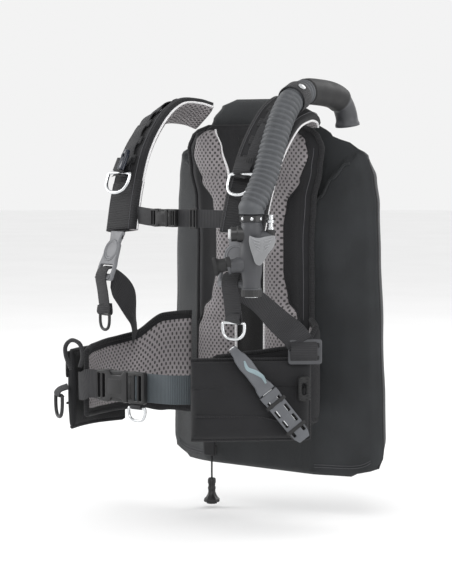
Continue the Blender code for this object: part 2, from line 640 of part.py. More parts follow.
def make_inflator():
    """Inflator body with its ports, mouthpiece, button, lever and quick connector."""
    body = rod("inflator_body", INFLATOR_RADIUS, 0.108,
               Matrix.Translation(INFLATOR + Vector((0, 0, INFLATOR_TOP - 0.0545))), "hose_rubber", 20)
    boss = rod("button_boss", 0.0095, 0.022, axes(INFLATOR - SIDEWAYS * 0.011 + Vector((0, 0, 0.038)),
                                                  SIDEWAYS, (0, 0, 1)), "hose_rubber", 16)
    port = rod("mouth_port", 0.0080, 0.022, axes(INFLATOR - SIDEWAYS * 0.011 + Vector((0, 0, 0.0)),
                                                 SIDEWAYS, (0, 0, 1)), "hose_rubber", 16)
    arm = block("connector_arm", (0.020, 0.012, 0.012),
                axes(INFLATOR + SIDEWAYS * 0.020 + Vector((0, 0, 0.034)), (0, 0, 1), OUTWARDS), "hose_rubber")
    combine(body, [boss, port, arm])
    aim = (-SIDEWAYS + Vector((0, 0, -0.18))).normalized()
    rod("mouthpiece", 0.0095, 0.018, axes(INFLATOR - SIDEWAYS * 0.0330 + Vector((0, 0, -0.002)), aim, (0, 0, 1)),
        "black_plastic", 16, 0.0135)
    rod("deflate_button", 0.0065, 0.0055,
        axes(INFLATOR - SIDEWAYS * 0.0282 + Vector((0, 0, 0.038)), -SIDEWAYS, (0, 0, 1)), "pale_plastic")
    rod("quick_connector", 0.0055, 0.0230,
        Matrix.Translation(INFLATOR + SIDEWAYS * 0.0245 + Vector((0, 0, 0.0520))), "steel")
    outline = [(-0.0130, 0.0190), (0.0, 0.0160), (0.0190, 0.0190), (0.0205, 0.0100), (0.0120, -0.0040),
               (0.0020, -0.0190), (-0.0060, -0.0160), (-0.0120, 0.0020)]
    lever = axes(INFLATOR + OUTWARDS * 0.0245 + SIDEWAYS * 0.010 + Vector((0, 0, 0.0180)), OUTWARDS, (0, 0, 1))
    plate("inflate_lever", outline, 0.0060, lever, "pale_plastic", 0.0015)


# Knife, valves and dump pull

def make_knife():
    """Knife standing in its sheath on the left pocket."""
    sheath_length = 0.082
    turn = axes(SHEATH_TOP + KNIFE_AXIS * sheath_length / 2, KNIFE_AXIS, POCKET_FACING)
    sheath = block("knife_sheath", (0.026, 0.0120, sheath_length), turn, "grey_plastic", 0.002)
    hollow = block("sheath_hollow", (0.0180, 0.0050, sheath_length),
                   turn @ Matrix.Translation((0, 0, -0.006)), "grey_plastic")
    combine(sheath, [hollow], "DIFFERENCE")
    handle_length = 0.078
    grip = axes(SHEATH_TOP - KNIFE_AXIS * (handle_length / 2 + 0.001), KNIFE_AXIS, POCKET_FACING)
    knife = block("knife", (0.024, 0.0120, handle_length), grip, "grey_plastic", 0.003)
    blade = block("knife_blade", (0.0160, 0.0030, 0.072),
                  axes(SHEATH_TOP + KNIFE_AXIS * 0.034, KNIFE_AXIS, POCKET_FACING), "steel")
    combine(knife, [blade])


def make_valves():
    """Relief valve at the top of the air cell's back, and the dump valve at its bottom."""
    profile = [(0.0, 0.012), (0.0200, 0.012), (0.0240, 0.009), (0.0280, 0.004), (0.0280, 0.0), (0.0, 0.0)]
    for name, height in (("relief_valve", 0.080), ("dump_valve", -0.215)):
        turned(name, profile, axes((VALVE_X, VALVE_Y, height), (0, 1, 0), (0, 0, 1)), "black_plastic")


def make_dump_pull():
    """Fabric guide on the air cell's hem, the pull cord through it, and the knob."""
    guide = block("dump_cord_guide", (0.018, 0.009, 0.016),
                  Matrix.Translation((DUMP_X, DUMP_Y, DUMP_GUIDE_END + 0.008)), "black_fabric", 0.001)
    bore = rod("guide_bore", 0.0022, 0.040, Matrix.Translation((DUMP_X, DUMP_Y, DUMP_GUIDE_END)),
               "black_fabric", 12)
    combine(guide, [bore], "DIFFERENCE")
    low = DUMP_GUIDE_END - DUMP_CORD_LENGTH
    count = 12
    points = [(DUMP_X, DUMP_Y, low + 0.0003 + (DUMP_GUIDE_END + 0.004 - low) * step / count)
              for step in range(count + 1)]
    wire("dump_cord", points, DUMP_CORD_RADIUS, "webbing", sides=2)
    profile = [(0.0, 0.038), (0.0050, 0.038), (0.0062, 0.030), (0.0080, 0.012), (0.0100, 0.005),
               (0.0120, 0.004), (0.0120, 0.0), (0.0, 0.0)]
    turned("dump_knob", profile, Matrix.Translation((DUMP_X, DUMP_Y, low - 0.038)), "black_plastic")


clear_scene()
model = bpy.data.collections.new("buoyancy_vest")
cutters = bpy.data.collections.new("cutters")
bpy.context.scene.collection.children.link(model)
bpy.context.scene.collection.children.link(cutters)
make_air_cell()
make_back()
make_tank_band()
for side in (-1, 1):
    make_shoulder(side)
    make_shoulder_ring(side)
make_waist()
make_sternum()
make_whistle()
make_hose()
make_inflator()
make_knife()
make_valves()
make_dump_pull()
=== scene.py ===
import math

import bmesh
import bpy
from mathutils import Matrix, Vector as V, noise


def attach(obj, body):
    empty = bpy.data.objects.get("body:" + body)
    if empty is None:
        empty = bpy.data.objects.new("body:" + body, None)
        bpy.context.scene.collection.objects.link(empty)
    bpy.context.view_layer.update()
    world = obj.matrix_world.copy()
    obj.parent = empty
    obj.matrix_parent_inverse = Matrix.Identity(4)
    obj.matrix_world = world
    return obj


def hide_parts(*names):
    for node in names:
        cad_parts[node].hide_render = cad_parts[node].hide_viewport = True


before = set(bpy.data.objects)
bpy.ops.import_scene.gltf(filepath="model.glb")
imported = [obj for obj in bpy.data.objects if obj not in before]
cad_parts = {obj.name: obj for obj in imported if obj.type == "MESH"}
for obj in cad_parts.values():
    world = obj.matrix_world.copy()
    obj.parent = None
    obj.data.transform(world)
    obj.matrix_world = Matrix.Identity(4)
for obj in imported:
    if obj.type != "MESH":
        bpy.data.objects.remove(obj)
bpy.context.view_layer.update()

# ---------------------------------------------------------------- geometry


def spline(points, steps=6):
    """A smooth line through the points."""
    points = [V(p) for p in points]
    ends = [2 * points[0] - points[1]] + points + [2 * points[-1] - points[-2]]
    line = []
    for i in range(1, len(ends) - 2):
        a, b, c, d = ends[i - 1:i + 3]
        for k in range(steps):
            t = k / steps
            line.append(0.5 * (2 * b + (c - a) * t + (2 * a - 5 * b + 4 * c - d) * t * t
                    + (3 * b - a - 3 * c + d) * t * t * t))
    return line + [points[-1]]


def axes(centre, along, up):
    """A place whose Z runs along a direction and whose Y is nearest to up."""
    z = V(along).normalized()
    x = V(up).cross(z).normalized()
    y = z.cross(x)
    place = Matrix((x, y, z)).transposed().to_4x4()
    place.translation = V(centre)
    return place


def mm(*points):
    """Points given in millimetres, as metres."""
    return [tuple(c / 1000 for c in point) for point in points]


def flip(point, sign):
    """The point, mirrored to the right side where sign is negative."""
    return V((point[0] * sign, point[1], point[2]))


def blend_table(table, at):
    """The value at one height, between the rows of (height, value)."""
    rows = sorted(table)
    if at <= rows[0][0]:
        return rows[0][1]
    for (a, first), (b, second) in zip(rows, rows[1:]):
        if at <= b:
            t = (at - a) / (b - a)
            return first + (second - first) * t * t * (3 - 2 * t)
    return rows[-1][1]


def ease(low, high, value):
    """From 0 at low to 1 at high, with soft ends."""
    t = min(1.0, max(0.0, (value - low) / (high - low)))
    return t * t * (3 - 2 * t)


def rounded(width, thick, radius=None, steps=3):
    """A rectangular section with round corners."""
    w, h = width / 2, thick / 2
    r = min(radius or h, w, h) * 0.999
    corners = ((w - r, h - r, 0), (r - w, h - r, 90), (r - w, r - h, 180), (w - r, r - h, 270))
    turns = [(x, y, math.radians(start + 90 * k / steps)) for x, y,
            start in corners for k in range(steps + 1)]
    return [(x + r * math.cos(t), y + r * math.sin(t)) for x, y, t in turns]


def lens(width, thick, offset=0.0, power=0.6, count=28):
    """A padded section, flatter than an ellipse."""
    turns = [2 * math.pi * k / count for k in range(count)]

    def swell(c):
        return math.copysign(abs(c) ** power, c)
    return [(width / 2 * swell(math.cos(t)), offset + thick / 2 * swell(math.sin(t))) for t in turns]


def circle(radius, count=12):
    """A round section."""
    turns = [2 * math.pi * k / count for k in range(count)]
    return [(radius * math.cos(t), radius * math.sin(t)) for t in turns]


def finish_piece(name, bm, look, body="harness", crease=None):
    """The mesh as a piece that rides on a body."""
    name = name.replace(" ", "_")
    bmesh.ops.recalc_face_normals(bm, faces=bm.faces)
    for face in bm.faces:
        face.smooth = True
    mesh = bpy.data.meshes.new(name)
    bm.to_mesh(mesh)
    bm.free()
    if crease:
        mesh.set_sharp_from_angle(angle=math.radians(crease))
    piece = bpy.data.objects.new(name, mesh)
    bpy.context.scene.collection.objects.link(piece)
    for one in look if isinstance(look, (list, tuple)) else [look]:
        mesh.materials.append(one)
    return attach(piece, body)


def put(piece, slot, *nodes):
    """The piece stands for the nodes, which it hides. The slot is not used."""
    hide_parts(*nodes)


def sweep(name, line, outs, section, look, body="harness", loop=False, crease=None):
    """A section carried along a line. Its map runs round the section and along the line, in metres."""
    line = [V(p) for p in line]
    count = len(line)
    if isinstance(outs, (V, tuple)):
        outs = [V(outs)] * count
    bm = bmesh.new()
    maps = bm.loops.layers.uv.new("map")
    rows, across, along = [], [], [0.0]
    for i, centre in enumerate(line):
        after = line[(i + 1) % count] if loop else line[min(i + 1, count - 1)]
        before = line[i - 1] if loop or i else line[0]
        ahead = (after - before).normalized()
        side = ahead.cross(V(outs[i])).normalized()
        out = side.cross(ahead)
        shape = section(i / max(1, count - 1)) if callable(section) else section
        rows.append([bm.verts.new(centre + side * a + out * b) for a, b in shape])
        if not across:
            across = [0.0]
            for (a, b), (c, d) in zip(shape, shape[1:] + shape[:1]):
                across.append(across[-1] + math.hypot(c - a, d - b))
        if i:
            along.append(along[-1] + (centre - line[i - 1]).length)
    if loop:
        along.append(along[-1] + (line[0] - line[-1]).length)
    pairs = count if loop else count - 1
    size = len(rows[0])
    for i in range(pairs):
        for j in range(size):
            ring, other = rows[i], rows[(i + 1) % count]
            face = bm.faces.new((ring[j], ring[(j + 1) % size], other[(j + 1) % size], other[j]))
            for corner, spot in zip(face.loops, ((j, i), (j + 1, i), (j + 1, i + 1), (j, i + 1))):
                corner[maps].uv = (across[spot[0]], along[spot[1]])
    if not loop:
        bm.faces.new(rows[0])
        bm.faces.new(rows[-1])
    return finish_piece(name, bm, look, body, crease)


def tube(name, line, radius, look, body="harness", loop=False, sides=12):
    """A round tube. Its out directions are carried along so that it doesn't twist."""
    line = [V(p) for p in line]
    out = V((0.31, 0.17, 0.93))
    outs = []
    for i, point in enumerate(line):
        ahead = line[(i + 1) % len(line)] - point if loop or i < len(line) - 1 else point - line[i - 1]
        out = (out - ahead.normalized() * out.dot(ahead.normalized())).normalized()
        outs.append(out.copy())
    section = (lambda t: circle(radius(t), sides)) if callable(radius) else circle(radius, sides)
    return sweep(name, line, outs, section, look, body, loop)


def webbing(name, points, outs, width, look, body="harness", thick=0.0016, steps=6):
    """A woven strap through the points."""
    line = spline(points, steps)
    if isinstance(outs, (V, tuple)) and not isinstance(outs[0], (V, tuple)):
        outs = [outs] * len(points)
    return sweep(name, line, spline(outs, steps), rounded(width, thick, steps=2), look, body)


def turned(name, place, profile, look, body="harness", sides=40, crease=32, ribs=0, depth=0.0):
    """A turned part from (radius, height) pairs, with grip ribs round it if asked."""
    bm = bmesh.new()
    maps = bm.loops.layers.uv.new("map")
    rows = []
    for radius, height in profile:
        ring = []
        for k in range(sides):
            turn = 2 * math.pi * k / sides
            r = radius - (depth * (0.5 + 0.5 * math.cos(ribs * turn)) if ribs and radius > depth * 2 else 0)
            ring.append(bm.verts.new(place @ V((r * math.cos(turn), r * math.sin(turn), height))))
        rows.append(ring)
    for i in range(len(rows) - 1):
        for k in range(sides):
            face = bm.faces.new((rows[i][k], rows[i][(k + 1) % sides], rows[i + 1][(k + 1) % sides],
                    rows[i + 1][k]))
            spots = ((k, i), (k + 1, i), (k + 1, i + 1), (k, i + 1))
            for corner, (a, b) in zip(face.loops, spots):
                corner[maps].uv = (0.06 * a / sides, profile[b][1])
    for ring in (rows[0], rows[-1]):
        bm.faces.new(ring)
    return finish_piece(name, bm, look, body, crease)


def plate(name, place, outline, thick, look, body="harness", holes=(), bevel=0.0008, crease=40):
    """A flat moulded part, centred on its place, with rounded edges and holes through it."""
    shape = bpy.data.curves.new(name, "CURVE")
    shape.dimensions = "2D"
    shape.fill_mode = "BOTH"
    shape.extrude = thick / 2 - bevel
    shape.bevel_depth = bevel
    shape.bevel_resolution = 2
    shape.offset = -bevel
    for points in (outline, *holes):
        line = shape.splines.new("POLY")
        line.points.add(len(points) - 1)
        for point, (x, y) in zip(line.points, points):
            point.co = (x, y, 0, 1)
        line.use_cyclic_u = True
    source = bpy.data.objects.new(name, shape)
    mesh = bpy.data.meshes.new_from_object(source)
    bpy.data.objects.remove(source)
    bm = bmesh.new()
    bm.from_mesh(mesh)
    bmesh.ops.remove_doubles(bm, verts=bm.verts, dist=1e-6)
    bmesh.ops.transform(bm, matrix=place, verts=bm.verts)
    bpy.data.meshes.remove(mesh)
    return finish_piece(name, bm, look, body, crease)


def oblong(width, height, radius, steps=4, centre=(0, 0)):
    """A rounded rectangle as an outline."""
    return [(x + centre[0], y + centre[1]) for x, y in rounded(width, height,
            min(radius, width / 2, height / 2), steps)]


def d_outline(width, height):
    """A D with its flat side up, hanging below its origin."""
    w = width / 2
    right = [(w * 0.82, 0), (w * 0.97, -0.05 * height), (w, -0.14 * height), (w, -0.36 * height),
            (w * 0.93, -0.62 * height), (w * 0.72, -0.85 * height), (w * 0.38, -0.97 * height)]
    left = [(-x, y) for x, y in reversed(right)]
    return [(0, 0)] + right + [(0, -height)] + left


def d_ring(name, place, width, height, wire, look, body="harness"):
    """A bent ring, flat side on top."""
    flat = [V((x, y, 0)) for x, y in d_outline(width - 2 * wire, height - 2 * wire)]
    loop = spline(flat + [flat[0]], 5)[:-1]
    return tube(name, [place @ (p - V((0, wire, 0))) for p in loop], wire, look, body, loop=True)


def cushion(name, shape, look, counts=(24, 60), body="harness", flat=None):
    """A closed puffed piece: shape(across, along) gives a front and a rear point, both 0 to 1.
    Its map is in metres: the flat width and height if given, or else seen from the front."""
    wide, tall = counts
    bm = bmesh.new()
    maps = bm.loops.layers.uv.new("map")
    grids, spots = [[], []], {}
    for i in range(tall + 1):
        rows = [[], []]
        for j in range(wide + 1):
            for row, point in zip(rows, shape(j / wide, i / tall)):
                row.append(bm.verts.new(point))
                spots[row[-1]] = (j / wide, i / tall)
        grids[0].append(rows[0])
        grids[1].append(rows[1])
    faces = []
    for grid in grids:
        for i in range(tall):
            for j in range(wide):
                faces.append((grid[i][j], grid[i][j + 1], grid[i + 1][j + 1], grid[i + 1][j]))
    for i in range(tall):
        for j in (0, wide):
            faces.append((grids[0][i][j], grids[0][i + 1][j], grids[1][i + 1][j], grids[1][i][j]))
    for j in range(wide):
        for i in (0, tall):
            faces.append((grids[0][i][j], grids[0][i][j + 1], grids[1][i][j + 1], grids[1][i][j]))
    for corners in faces:
        face = bm.faces.new(corners)
        for loop in face.loops:
            a, t = spots[loop.vert]
            loop[maps].uv = (a * flat[0], t * flat[1]) if flat else (loop.vert.co.x, loop.vert.co.z)
    bmesh.ops.remove_doubles(bm, verts=bm.verts, dist=1e-5)
    return finish_piece(name, bm, look, body)


# --------------------------------------------------------------- materials


def mirrored(half):
    """A whole outline from the points of its right half."""
    return list(half) + [(-x, y) for x, y in reversed(half)]


def srgb(red, green, blue):
    """A colour in linear light from 0 to 255 values."""
    return tuple(((c / 255 + 0.055) / 1.055) ** 2.4 if c > 10 else c / 3294
            for c in (red, green, blue)) + (1.0,)


class Look:
    """A node material and the helpers that build it."""

    def __init__(self, name, **settings):
        self.material = bpy.data.materials.new(name)
        self.material.use_nodes = True
        self.tree = self.material.node_tree
        self.surface = self.tree.nodes["Principled BSDF"]
        for key, value in settings.items():
            self.put(self.surface, key.replace("_", " "), value)

    def put(self, node, key, value):
        if isinstance(value, bpy.types.NodeSocket):
            self.tree.links.new(value, node.inputs[key])
        else:
            node.inputs[key].default_value = value

    def add(self, kind, settings=None, **inputs):
        node = self.tree.nodes.new("ShaderNode" + kind)
        for key, value in (settings or {}).items():
            setattr(node, key, value)
        for key, value in inputs.items():
            self.put(node, int(key[1:]) if key[0] == "n" and key[1:].isdigit() else key, value)
        return node

    def math(self, operation, first, second=0.0):
        return self.add("Math", {"operation": operation}, n0=first, n1=second).outputs[0]

    def mix(self, factor, first, second):
        return self.add("MixRGB", None, Fac=factor, Color1=first, Color2=second).outputs[0]

    def span(self, value, low, high, out_low=0.0, out_high=1.0):
        node = self.add("MapRange", None, Value=value)
        for key, limit in (("From Min", low), ("From Max", high), ("To Min", out_low), ("To Max", out_high)):
            self.put(node, key, limit)
        return node.outputs[0]

    def noise(self, scale, detail=3.0, stretch=None):
        place = self.add("TexCoord").outputs["Object"]
        if stretch:
            place = self.add("Mapping", None, Vector=place, Scale=stretch).outputs[0]
        return self.add("TexNoise", None, Vector=place, Scale=scale, Detail=detail).outputs["Fac"]

    def woven_map(self):
        split = self.add("SeparateXYZ", None, Vector=self.add("UVMap", {"uv_map": "map"}).outputs[0])
        return split.outputs[0], split.outputs[1]

    def wave(self, value, pitch):
        return self.math("SINE", self.math("MULTIPLY", value, 2 * math.pi / pitch))

    def bump(self, height, distance, strength=1.0, over=None):
        node = self.add("Bump", None, Height=height, Distance=distance, Strength=strength)
        if over is not None:
            self.put(node, "Normal", over)
        return node.outputs[0]

    def tone(self, colour, change=0.18, scale=14.0):
        """The colour with slow uneven lightness."""
        dark = tuple(c * (1 - change) for c in colour[:3]) + (1.0,)
        light = tuple(min(1.0, c * (1 + change)) for c in colour[:3]) + (1.0,)
        return self.mix(self.span(self.noise(scale), 0.35, 0.65), dark, light)

    def done(self, colour, rough, normal=None):
        self.put(self.surface, "Base Color", colour)
        self.put(self.surface, "Roughness", rough)
        if normal is not None:
            self.put(self.surface, "Normal", normal)
        return self.material


def cloth(name, colour, pitch, rough, wrinkle=0.0, shine=0.06):
    """A plain weave with soft wrinkles, and a painted highlight on its raised threads."""
    look = Look(name, Sheen_Weight=shine, Sheen_Roughness=0.5, Specular_IOR_Level=0.3)
    u, v = look.woven_map()
    weave = look.math("MULTIPLY", look.wave(u, pitch), look.wave(v, pitch))
    fuzz = look.noise(900.0)
    normal = look.bump(look.math("ADD", weave, fuzz), 0.00022, 0.7)
    if wrinkle:
        soft = look.noise(16.0, 4.0, (1.0, 1.0, 0.45))
        normal = look.bump(soft, wrinkle, 0.8, normal)
    tone = look.tone(colour, 0.22)
    # painted highlight: the colour is lighter where the weave stands highest
    tone = look.mix(look.span(weave, -1, 1, 0.0, 0.25), tone, tuple(c * 1.7 for c in colour[:3]) + (1.0,))
    return look.done(tone, look.span(fuzz, 0.3, 0.7, rough - 0.07, rough + 0.07), normal)


def spacer_mesh(name, yarn, hole):
    """Open diamond mesh over dark foam."""
    look = Look(name, Sheen_Weight=0.1, Sheen_Roughness=0.4)
    u, v = look.woven_map()
    lattice = look.math("MULTIPLY", look.wave(u, 0.0068), look.wave(v, 0.0088))
    gap = look.span(lattice, 0.22, 0.48)
    thread = look.math("MULTIPLY", look.wave(look.math("ADD", u, v), 0.0009),
            look.wave(look.math("SUBTRACT", u, v), 0.0009))
    normal = look.bump(look.math("MULTIPLY", gap, -1.0), 0.001, 0.9, look.bump(thread, 0.00025, 0.6))
    tone = look.mix(look.span(thread, -1, 1, 0, 0.3), look.tone(yarn, 0.12),
            tuple(c * 0.7 for c in yarn[:3]) + (1,))
    return look.done(look.mix(look.math("MULTIPLY", gap, 0.86), tone, hole), 0.72, normal)


def woven_tape(name, colour, rough=0.68, ridge=0.0024):
    """Webbing: ribs across it and a few lines along it, with a painted highlight on the rib crests."""
    look = Look(name, Sheen_Weight=0.06, Sheen_Roughness=0.45, Specular_IOR_Level=0.35)
    u, v = look.woven_map()
    ribs = look.wave(v, ridge)
    cords = look.wave(u, 0.0016)
    height = look.math("ADD", ribs, look.math("MULTIPLY", cords, 0.5))
    normal = look.bump(height, 0.0003, 0.8, look.bump(look.noise(1200.0), 0.0001, 0.4))
    # painted highlight: the colour is lighter on the crests of the ribs
    tone = look.mix(look.span(ribs, -1, 1), look.tone(colour, 0.15),
            tuple(c * 1.6 for c in colour[:3]) + (1,))
    return look.done(tone, rough, normal)


def plastic(name, colour, rough=0.42, edge_highlight=0.25, grain=0.35):
    """Moulded plastic with a fine grain and a painted highlight along its sharp edges."""
    look = Look(name, Specular_IOR_Level=0.45)
    grain_height = look.noise(1500.0, 2.0)
    # painted highlight: sharp convex edges are lightened towards a paler colour, by the given share
    edge = look.span(look.add("NewGeometry").outputs["Pointiness"], 0.52, 0.62, 0.0, edge_highlight)
    tone = look.mix(edge, look.tone(colour, 0.1, 40.0),
            tuple(min(1, c * 2.4 + 0.02) for c in colour[:3]) + (1,))
    rough_map = look.span(look.noise(60.0), 0.3, 0.7, rough - 0.06, rough + 0.08)
    return look.done(tone, rough_map, look.bump(grain_height, 0.00012, grain))


def metal(name, colour, rough=0.2):
    """Polished metal with fine scratches."""
    look = Look(name, Metallic=1.0)
    scratches = look.noise(220.0, 4.0, (1.0, 1.0, 9.0))
    return look.done(look.tone(colour, 0.06, 60.0), look.span(scratches, 0.3, 0.7, rough - 0.06,
            rough + 0.12), look.bump(scratches, 0.00003, 0.3))


BLADDER = cloth("bladder cloth", srgb(38, 40, 42), 0.0011, 0.62, wrinkle=0.004, shine=0.08)
FABRIC = cloth("black fabric", srgb(29, 29, 31), 0.0014, 0.82, wrinkle=0.0016)
POCKET = cloth("pocket fabric", srgb(26, 26, 28), 0.0014, 0.78, wrinkle=0.0025)
LINING = cloth("spine fabric", srgb(19, 19, 20), 0.0012, 0.85)
BINDING = woven_tape("edge binding", srgb(23, 23, 25), 0.75, 0.0034)
MESH = spacer_mesh("grey spacer mesh", srgb(150, 145, 147), srgb(30, 29, 30))
PIPING = woven_tape("light piping", srgb(206, 205, 206), 0.6, 0.0022)
TAPE = woven_tape("black webbing", srgb(34, 34, 36))
GREY_TAPE = woven_tape("grey webbing", srgb(62, 68, 72))
BLACK = plastic("black plastic", srgb(27, 27, 28), 0.38)
DARK = plastic("dark grey plastic", srgb(60, 61, 64), 0.44)
GREY = plastic("grey plastic", srgb(104, 105, 108), 0.46)
LEVER_GREY = plastic("light grey rubber", srgb(124, 125, 127), 0.55)
PALE = plastic("pale plastic", srgb(205, 206, 207), 0.4)
KNIFE_GREY = plastic("knife grey plastic", srgb(84, 86, 90), 0.45)
GRIP = plastic("pale grip", srgb(124, 141, 146), 0.55)
RUBBER = plastic("hose rubber", srgb(70, 72, 75), 0.5, 0.3, 0.2)
SOFT_BLACK = plastic("black rubber", srgb(22, 22, 23), 0.6, 0.1)
GLOSSY = plastic("whistle plastic", srgb(24, 29, 40), 0.16, 0.1, 0.05)
STEEL = metal("polished steel", srgb(208, 210, 212))
THREAD = woven_tape("thread", srgb(70, 70, 73), 0.7, 0.0018)
CORD = woven_tape("cord cover", srgb(30, 30, 32), 0.75, 0.0012)


# ------------------------------------------------------- camera, light, floor

VIEW_POINT = V((-0.021756, -0.073255, -0.054))
VIEW_FROM = V((1.90191, -2.36579, 0.15527))
FLOOR_Z = -0.3735


def set_stage():
    """The camera, the lamps, the pale world and the floor."""
    camera = bpy.data.objects.new("camera", bpy.data.cameras.new("camera"))
    camera.data.lens = 130.23
    camera.data.sensor_width = 36.0
    camera.data.sensor_fit = "AUTO"
    camera.location = VIEW_FROM
    camera.rotation_euler = (VIEW_POINT - VIEW_FROM).to_track_quat("-Z", "Y").to_euler()
    bpy.context.scene.collection.objects.link(camera)
    bpy.context.scene.camera = camera
    lights = (("key", (1.9, -2.3, 2.3), 1.5, 40), ("side", (-2.4, -1.3, 1.0), 1.6, 30),
            ("rear", (0.6, 2.6, 1.8), 1.8, 26), ("low", (2.4, 0.2, 0.3), 1.2, 12))
    for name, spot, size, power in lights:
        lamp = bpy.data.lights.new(name, "AREA")
        lamp.size = size
        lamp.energy = power
        light = bpy.data.objects.new(name, lamp)
        light.location = spot
        light.rotation_euler = (VIEW_POINT - V(spot)).to_track_quat("-Z", "Y").to_euler()
        bpy.context.scene.collection.objects.link(light)
    world = bpy.data.worlds.new("studio")
    world.use_nodes = True
    world.node_tree.nodes["Background"].inputs[0].default_value = srgb(243, 243, 243)
    world.node_tree.nodes["Background"].inputs[1].default_value = 1.0
    bpy.context.scene.world = world
    bpy.context.scene.view_settings.view_transform = "Standard"
    bm = bmesh.new()
    bmesh.ops.create_circle(bm, cap_ends=True, radius=14.0, segments=96,
            matrix=Matrix.Translation((0, 0, FLOOR_Z)))
    mesh = bpy.data.meshes.new("floor")
    bm.to_mesh(mesh)
    bm.free()
    floor = bpy.data.objects.new("floor", mesh)
    bpy.context.scene.collection.objects.link(floor)
    look = Look("floor")
    mesh.materials.append(look.done(look.tone(srgb(248, 248, 248), 0.01, 3.0), 1.0))


set_stage()

# ----------------------------------------------------------- dump cord first

PULL_X, PULL_Y = -0.08, -0.036
CORD_TOP, CORD_END = -0.298, -0.33


def make_dump_pull():
    """The cord with its knob, the guide that it leaves and the cloth tab above."""
    path = [V((PULL_X, PULL_Y, CORD_TOP + (CORD_END - CORD_TOP) * k / 16)) for k in range(17)]
    cord = tube("dump cord", path, 0.0013, CORD, "dump_pull", sides=14)
    put(cord, "webbing", "dump_cord")
    hang = axes((PULL_X, PULL_Y, 0), (0, 0, 1), (0, 1, 0))
    bell = [(0.003, -0.33), (0.0052, -0.3308), (0.006, -0.333), (0.006, -0.3375), (0.0052, -0.3392),
            (0.005, -0.3425), (0.0058, -0.344), (0.0058, -0.3468), (0.0052, -0.3482), (0.0054, -0.351),
            (0.0068, -0.355), (0.0094, -0.359), (0.0118, -0.3612), (0.012, -0.364), (0.0112, -0.3655),
            (0.008, -0.3663), (0.0076, -0.368), (0.001, -0.368)]
    knob = turned("dump knob", hang, bell, BLACK, "dump_pull", ribs=10, depth=0.0009)
    put(knob, "black_plastic", "dump_knob")
    body = mm((2.2, -282.2), (7.8, -282.2), (8.5, -283.2), (8.5, -295), (7, -297.8), (5, -298), (2.2, -298))
    guide = turned("dump cord guide", hang @ Matrix.Diagonal((1.0, 0.5, 1.0, 1.0)), body, BLACK)
    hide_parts("dump_cord_guide")
    tab = cushion("dump pull tab", tab_shape, FABRIC, (8, 12))


def tab_shape(a, t):
    """The cloth tab over the guide."""
    x = PULL_X + (a - 0.5) * (0.024 - 0.004 * t)
    z = -0.262 - 0.0345 * t
    return V((x, PULL_Y - 0.0062, z)), V((x, PULL_Y - 0.005, z))


make_dump_pull()

# ---------------------------------------------------------- shoulder straps

STRAP_ROUTE = (((0.088, -0.044, 0.196), (0.38, 0.3, 0.87)), ((0.098, -0.062, 0.202), (0.42, 0.12, 0.88)),
        ((0.1075, -0.09, 0.202), (0.46, -0.12, 0.86)), ((0.112, -0.125, 0.185), (0.36, -0.6, 0.7)),
        ((0.113, -0.16, 0.143), (0.28, -0.83, 0.48)), ((0.111, -0.182, 0.09), (0.24, -0.93, 0.3)),
        ((0.1085, -0.196, 0.035), (0.22, -0.95, 0.22)))
SIDES = (("left", 1), ("right", -1))
STRAP_WIDTH, BAR_PITCH, CHAIN_STATIONS = 0.0635, 0.027, (12, 46)


def strap_lines(sign, steps=10):
    """The middle line of a strap and its outward directions."""
    line = spline([flip(p, sign) for p, _ in STRAP_ROUTE], steps)
    outs = [n.normalized() for n in spline([flip(n, sign) for _, n in STRAP_ROUTE], steps)]
    return line, outs


def offset_line(line, outs, across, out, sign=1):
    """A line beside another one, in its own directions."""
    moved = []
    for i, point in enumerate(line):
        ahead = (line[min(i + 1, len(line) - 1)] - line[max(i - 1, 0)]).normalized()
        side = ahead.cross(outs[i]).normalized()
        moved.append(point + side * across * sign + outs[i] * out)
    return moved


def make_strap(side, sign):
    """A padded strap: cover, mesh lining, piping, seams and the bound end."""
    line, outs = strap_lines(sign)
    body = sweep(side + " strap cover", line, outs, lens(STRAP_WIDTH, 0.0125, 0.0018, 0.55), FABRIC)
    put(body, "black_fabric", side + "_shoulder_strap")
    lining = sweep(side + " strap mesh", offset_line(line, outs, 0, -0.0022), outs,
            lens(STRAP_WIDTH - 0.0035, 0.0118, -0.0008, 0.6), MESH)
    for edge in (-1, 1):
        trim = tube(side + " strap piping", offset_line(line, outs, 0.0312 * edge, -0.0026), 0.0017, PIPING)
        seam = tube(side + " strap seam", offset_line(line, outs, 0.0255 * edge, 0.0079), 0.0005, THREAD,
                sides=6)
    hem = sweep(side + " strap hem", line[-13:], outs[-13:],
            lens(STRAP_WIDTH + 0.0015, 0.0172, 0.0002, 0.5), BINDING)
    make_daisy_chain(side, line, outs)
    make_ring_tab(side, sign)


def make_daisy_chain(side, line, outs):
    """Webbing along the strap, standing off it in a loop between bars of stitching."""
    first, last = CHAIN_STATIONS
    run, lifted, bars = 0.0, [], []
    for i in range(first, last + 1):
        run += (line[i] - line[i - 1]).length
        rise = abs(math.sin(math.pi * run / BAR_PITCH)) ** 0.6
        lifted.append(line[i] + outs[i] * (0.0092 + 0.0034 * rise))
        if int(run / BAR_PITCH) > len(bars):
            bars.append(i)
    chain = sweep(side + " strap webbing", lifted, outs[first:last + 1], rounded(0.0265, 0.0017, steps=2),
            TAPE)
    put(chain, "webbing", side + "_strap_webbing")
    for i in bars:
        bar = webbing(side + " strap bar", offset_line(line, outs, 0, 0.0103)[i - 1:i + 2],
                [outs[i - 1], outs[i], outs[i + 1]], 0.0385, BINDING, thick=0.0024, steps=2)


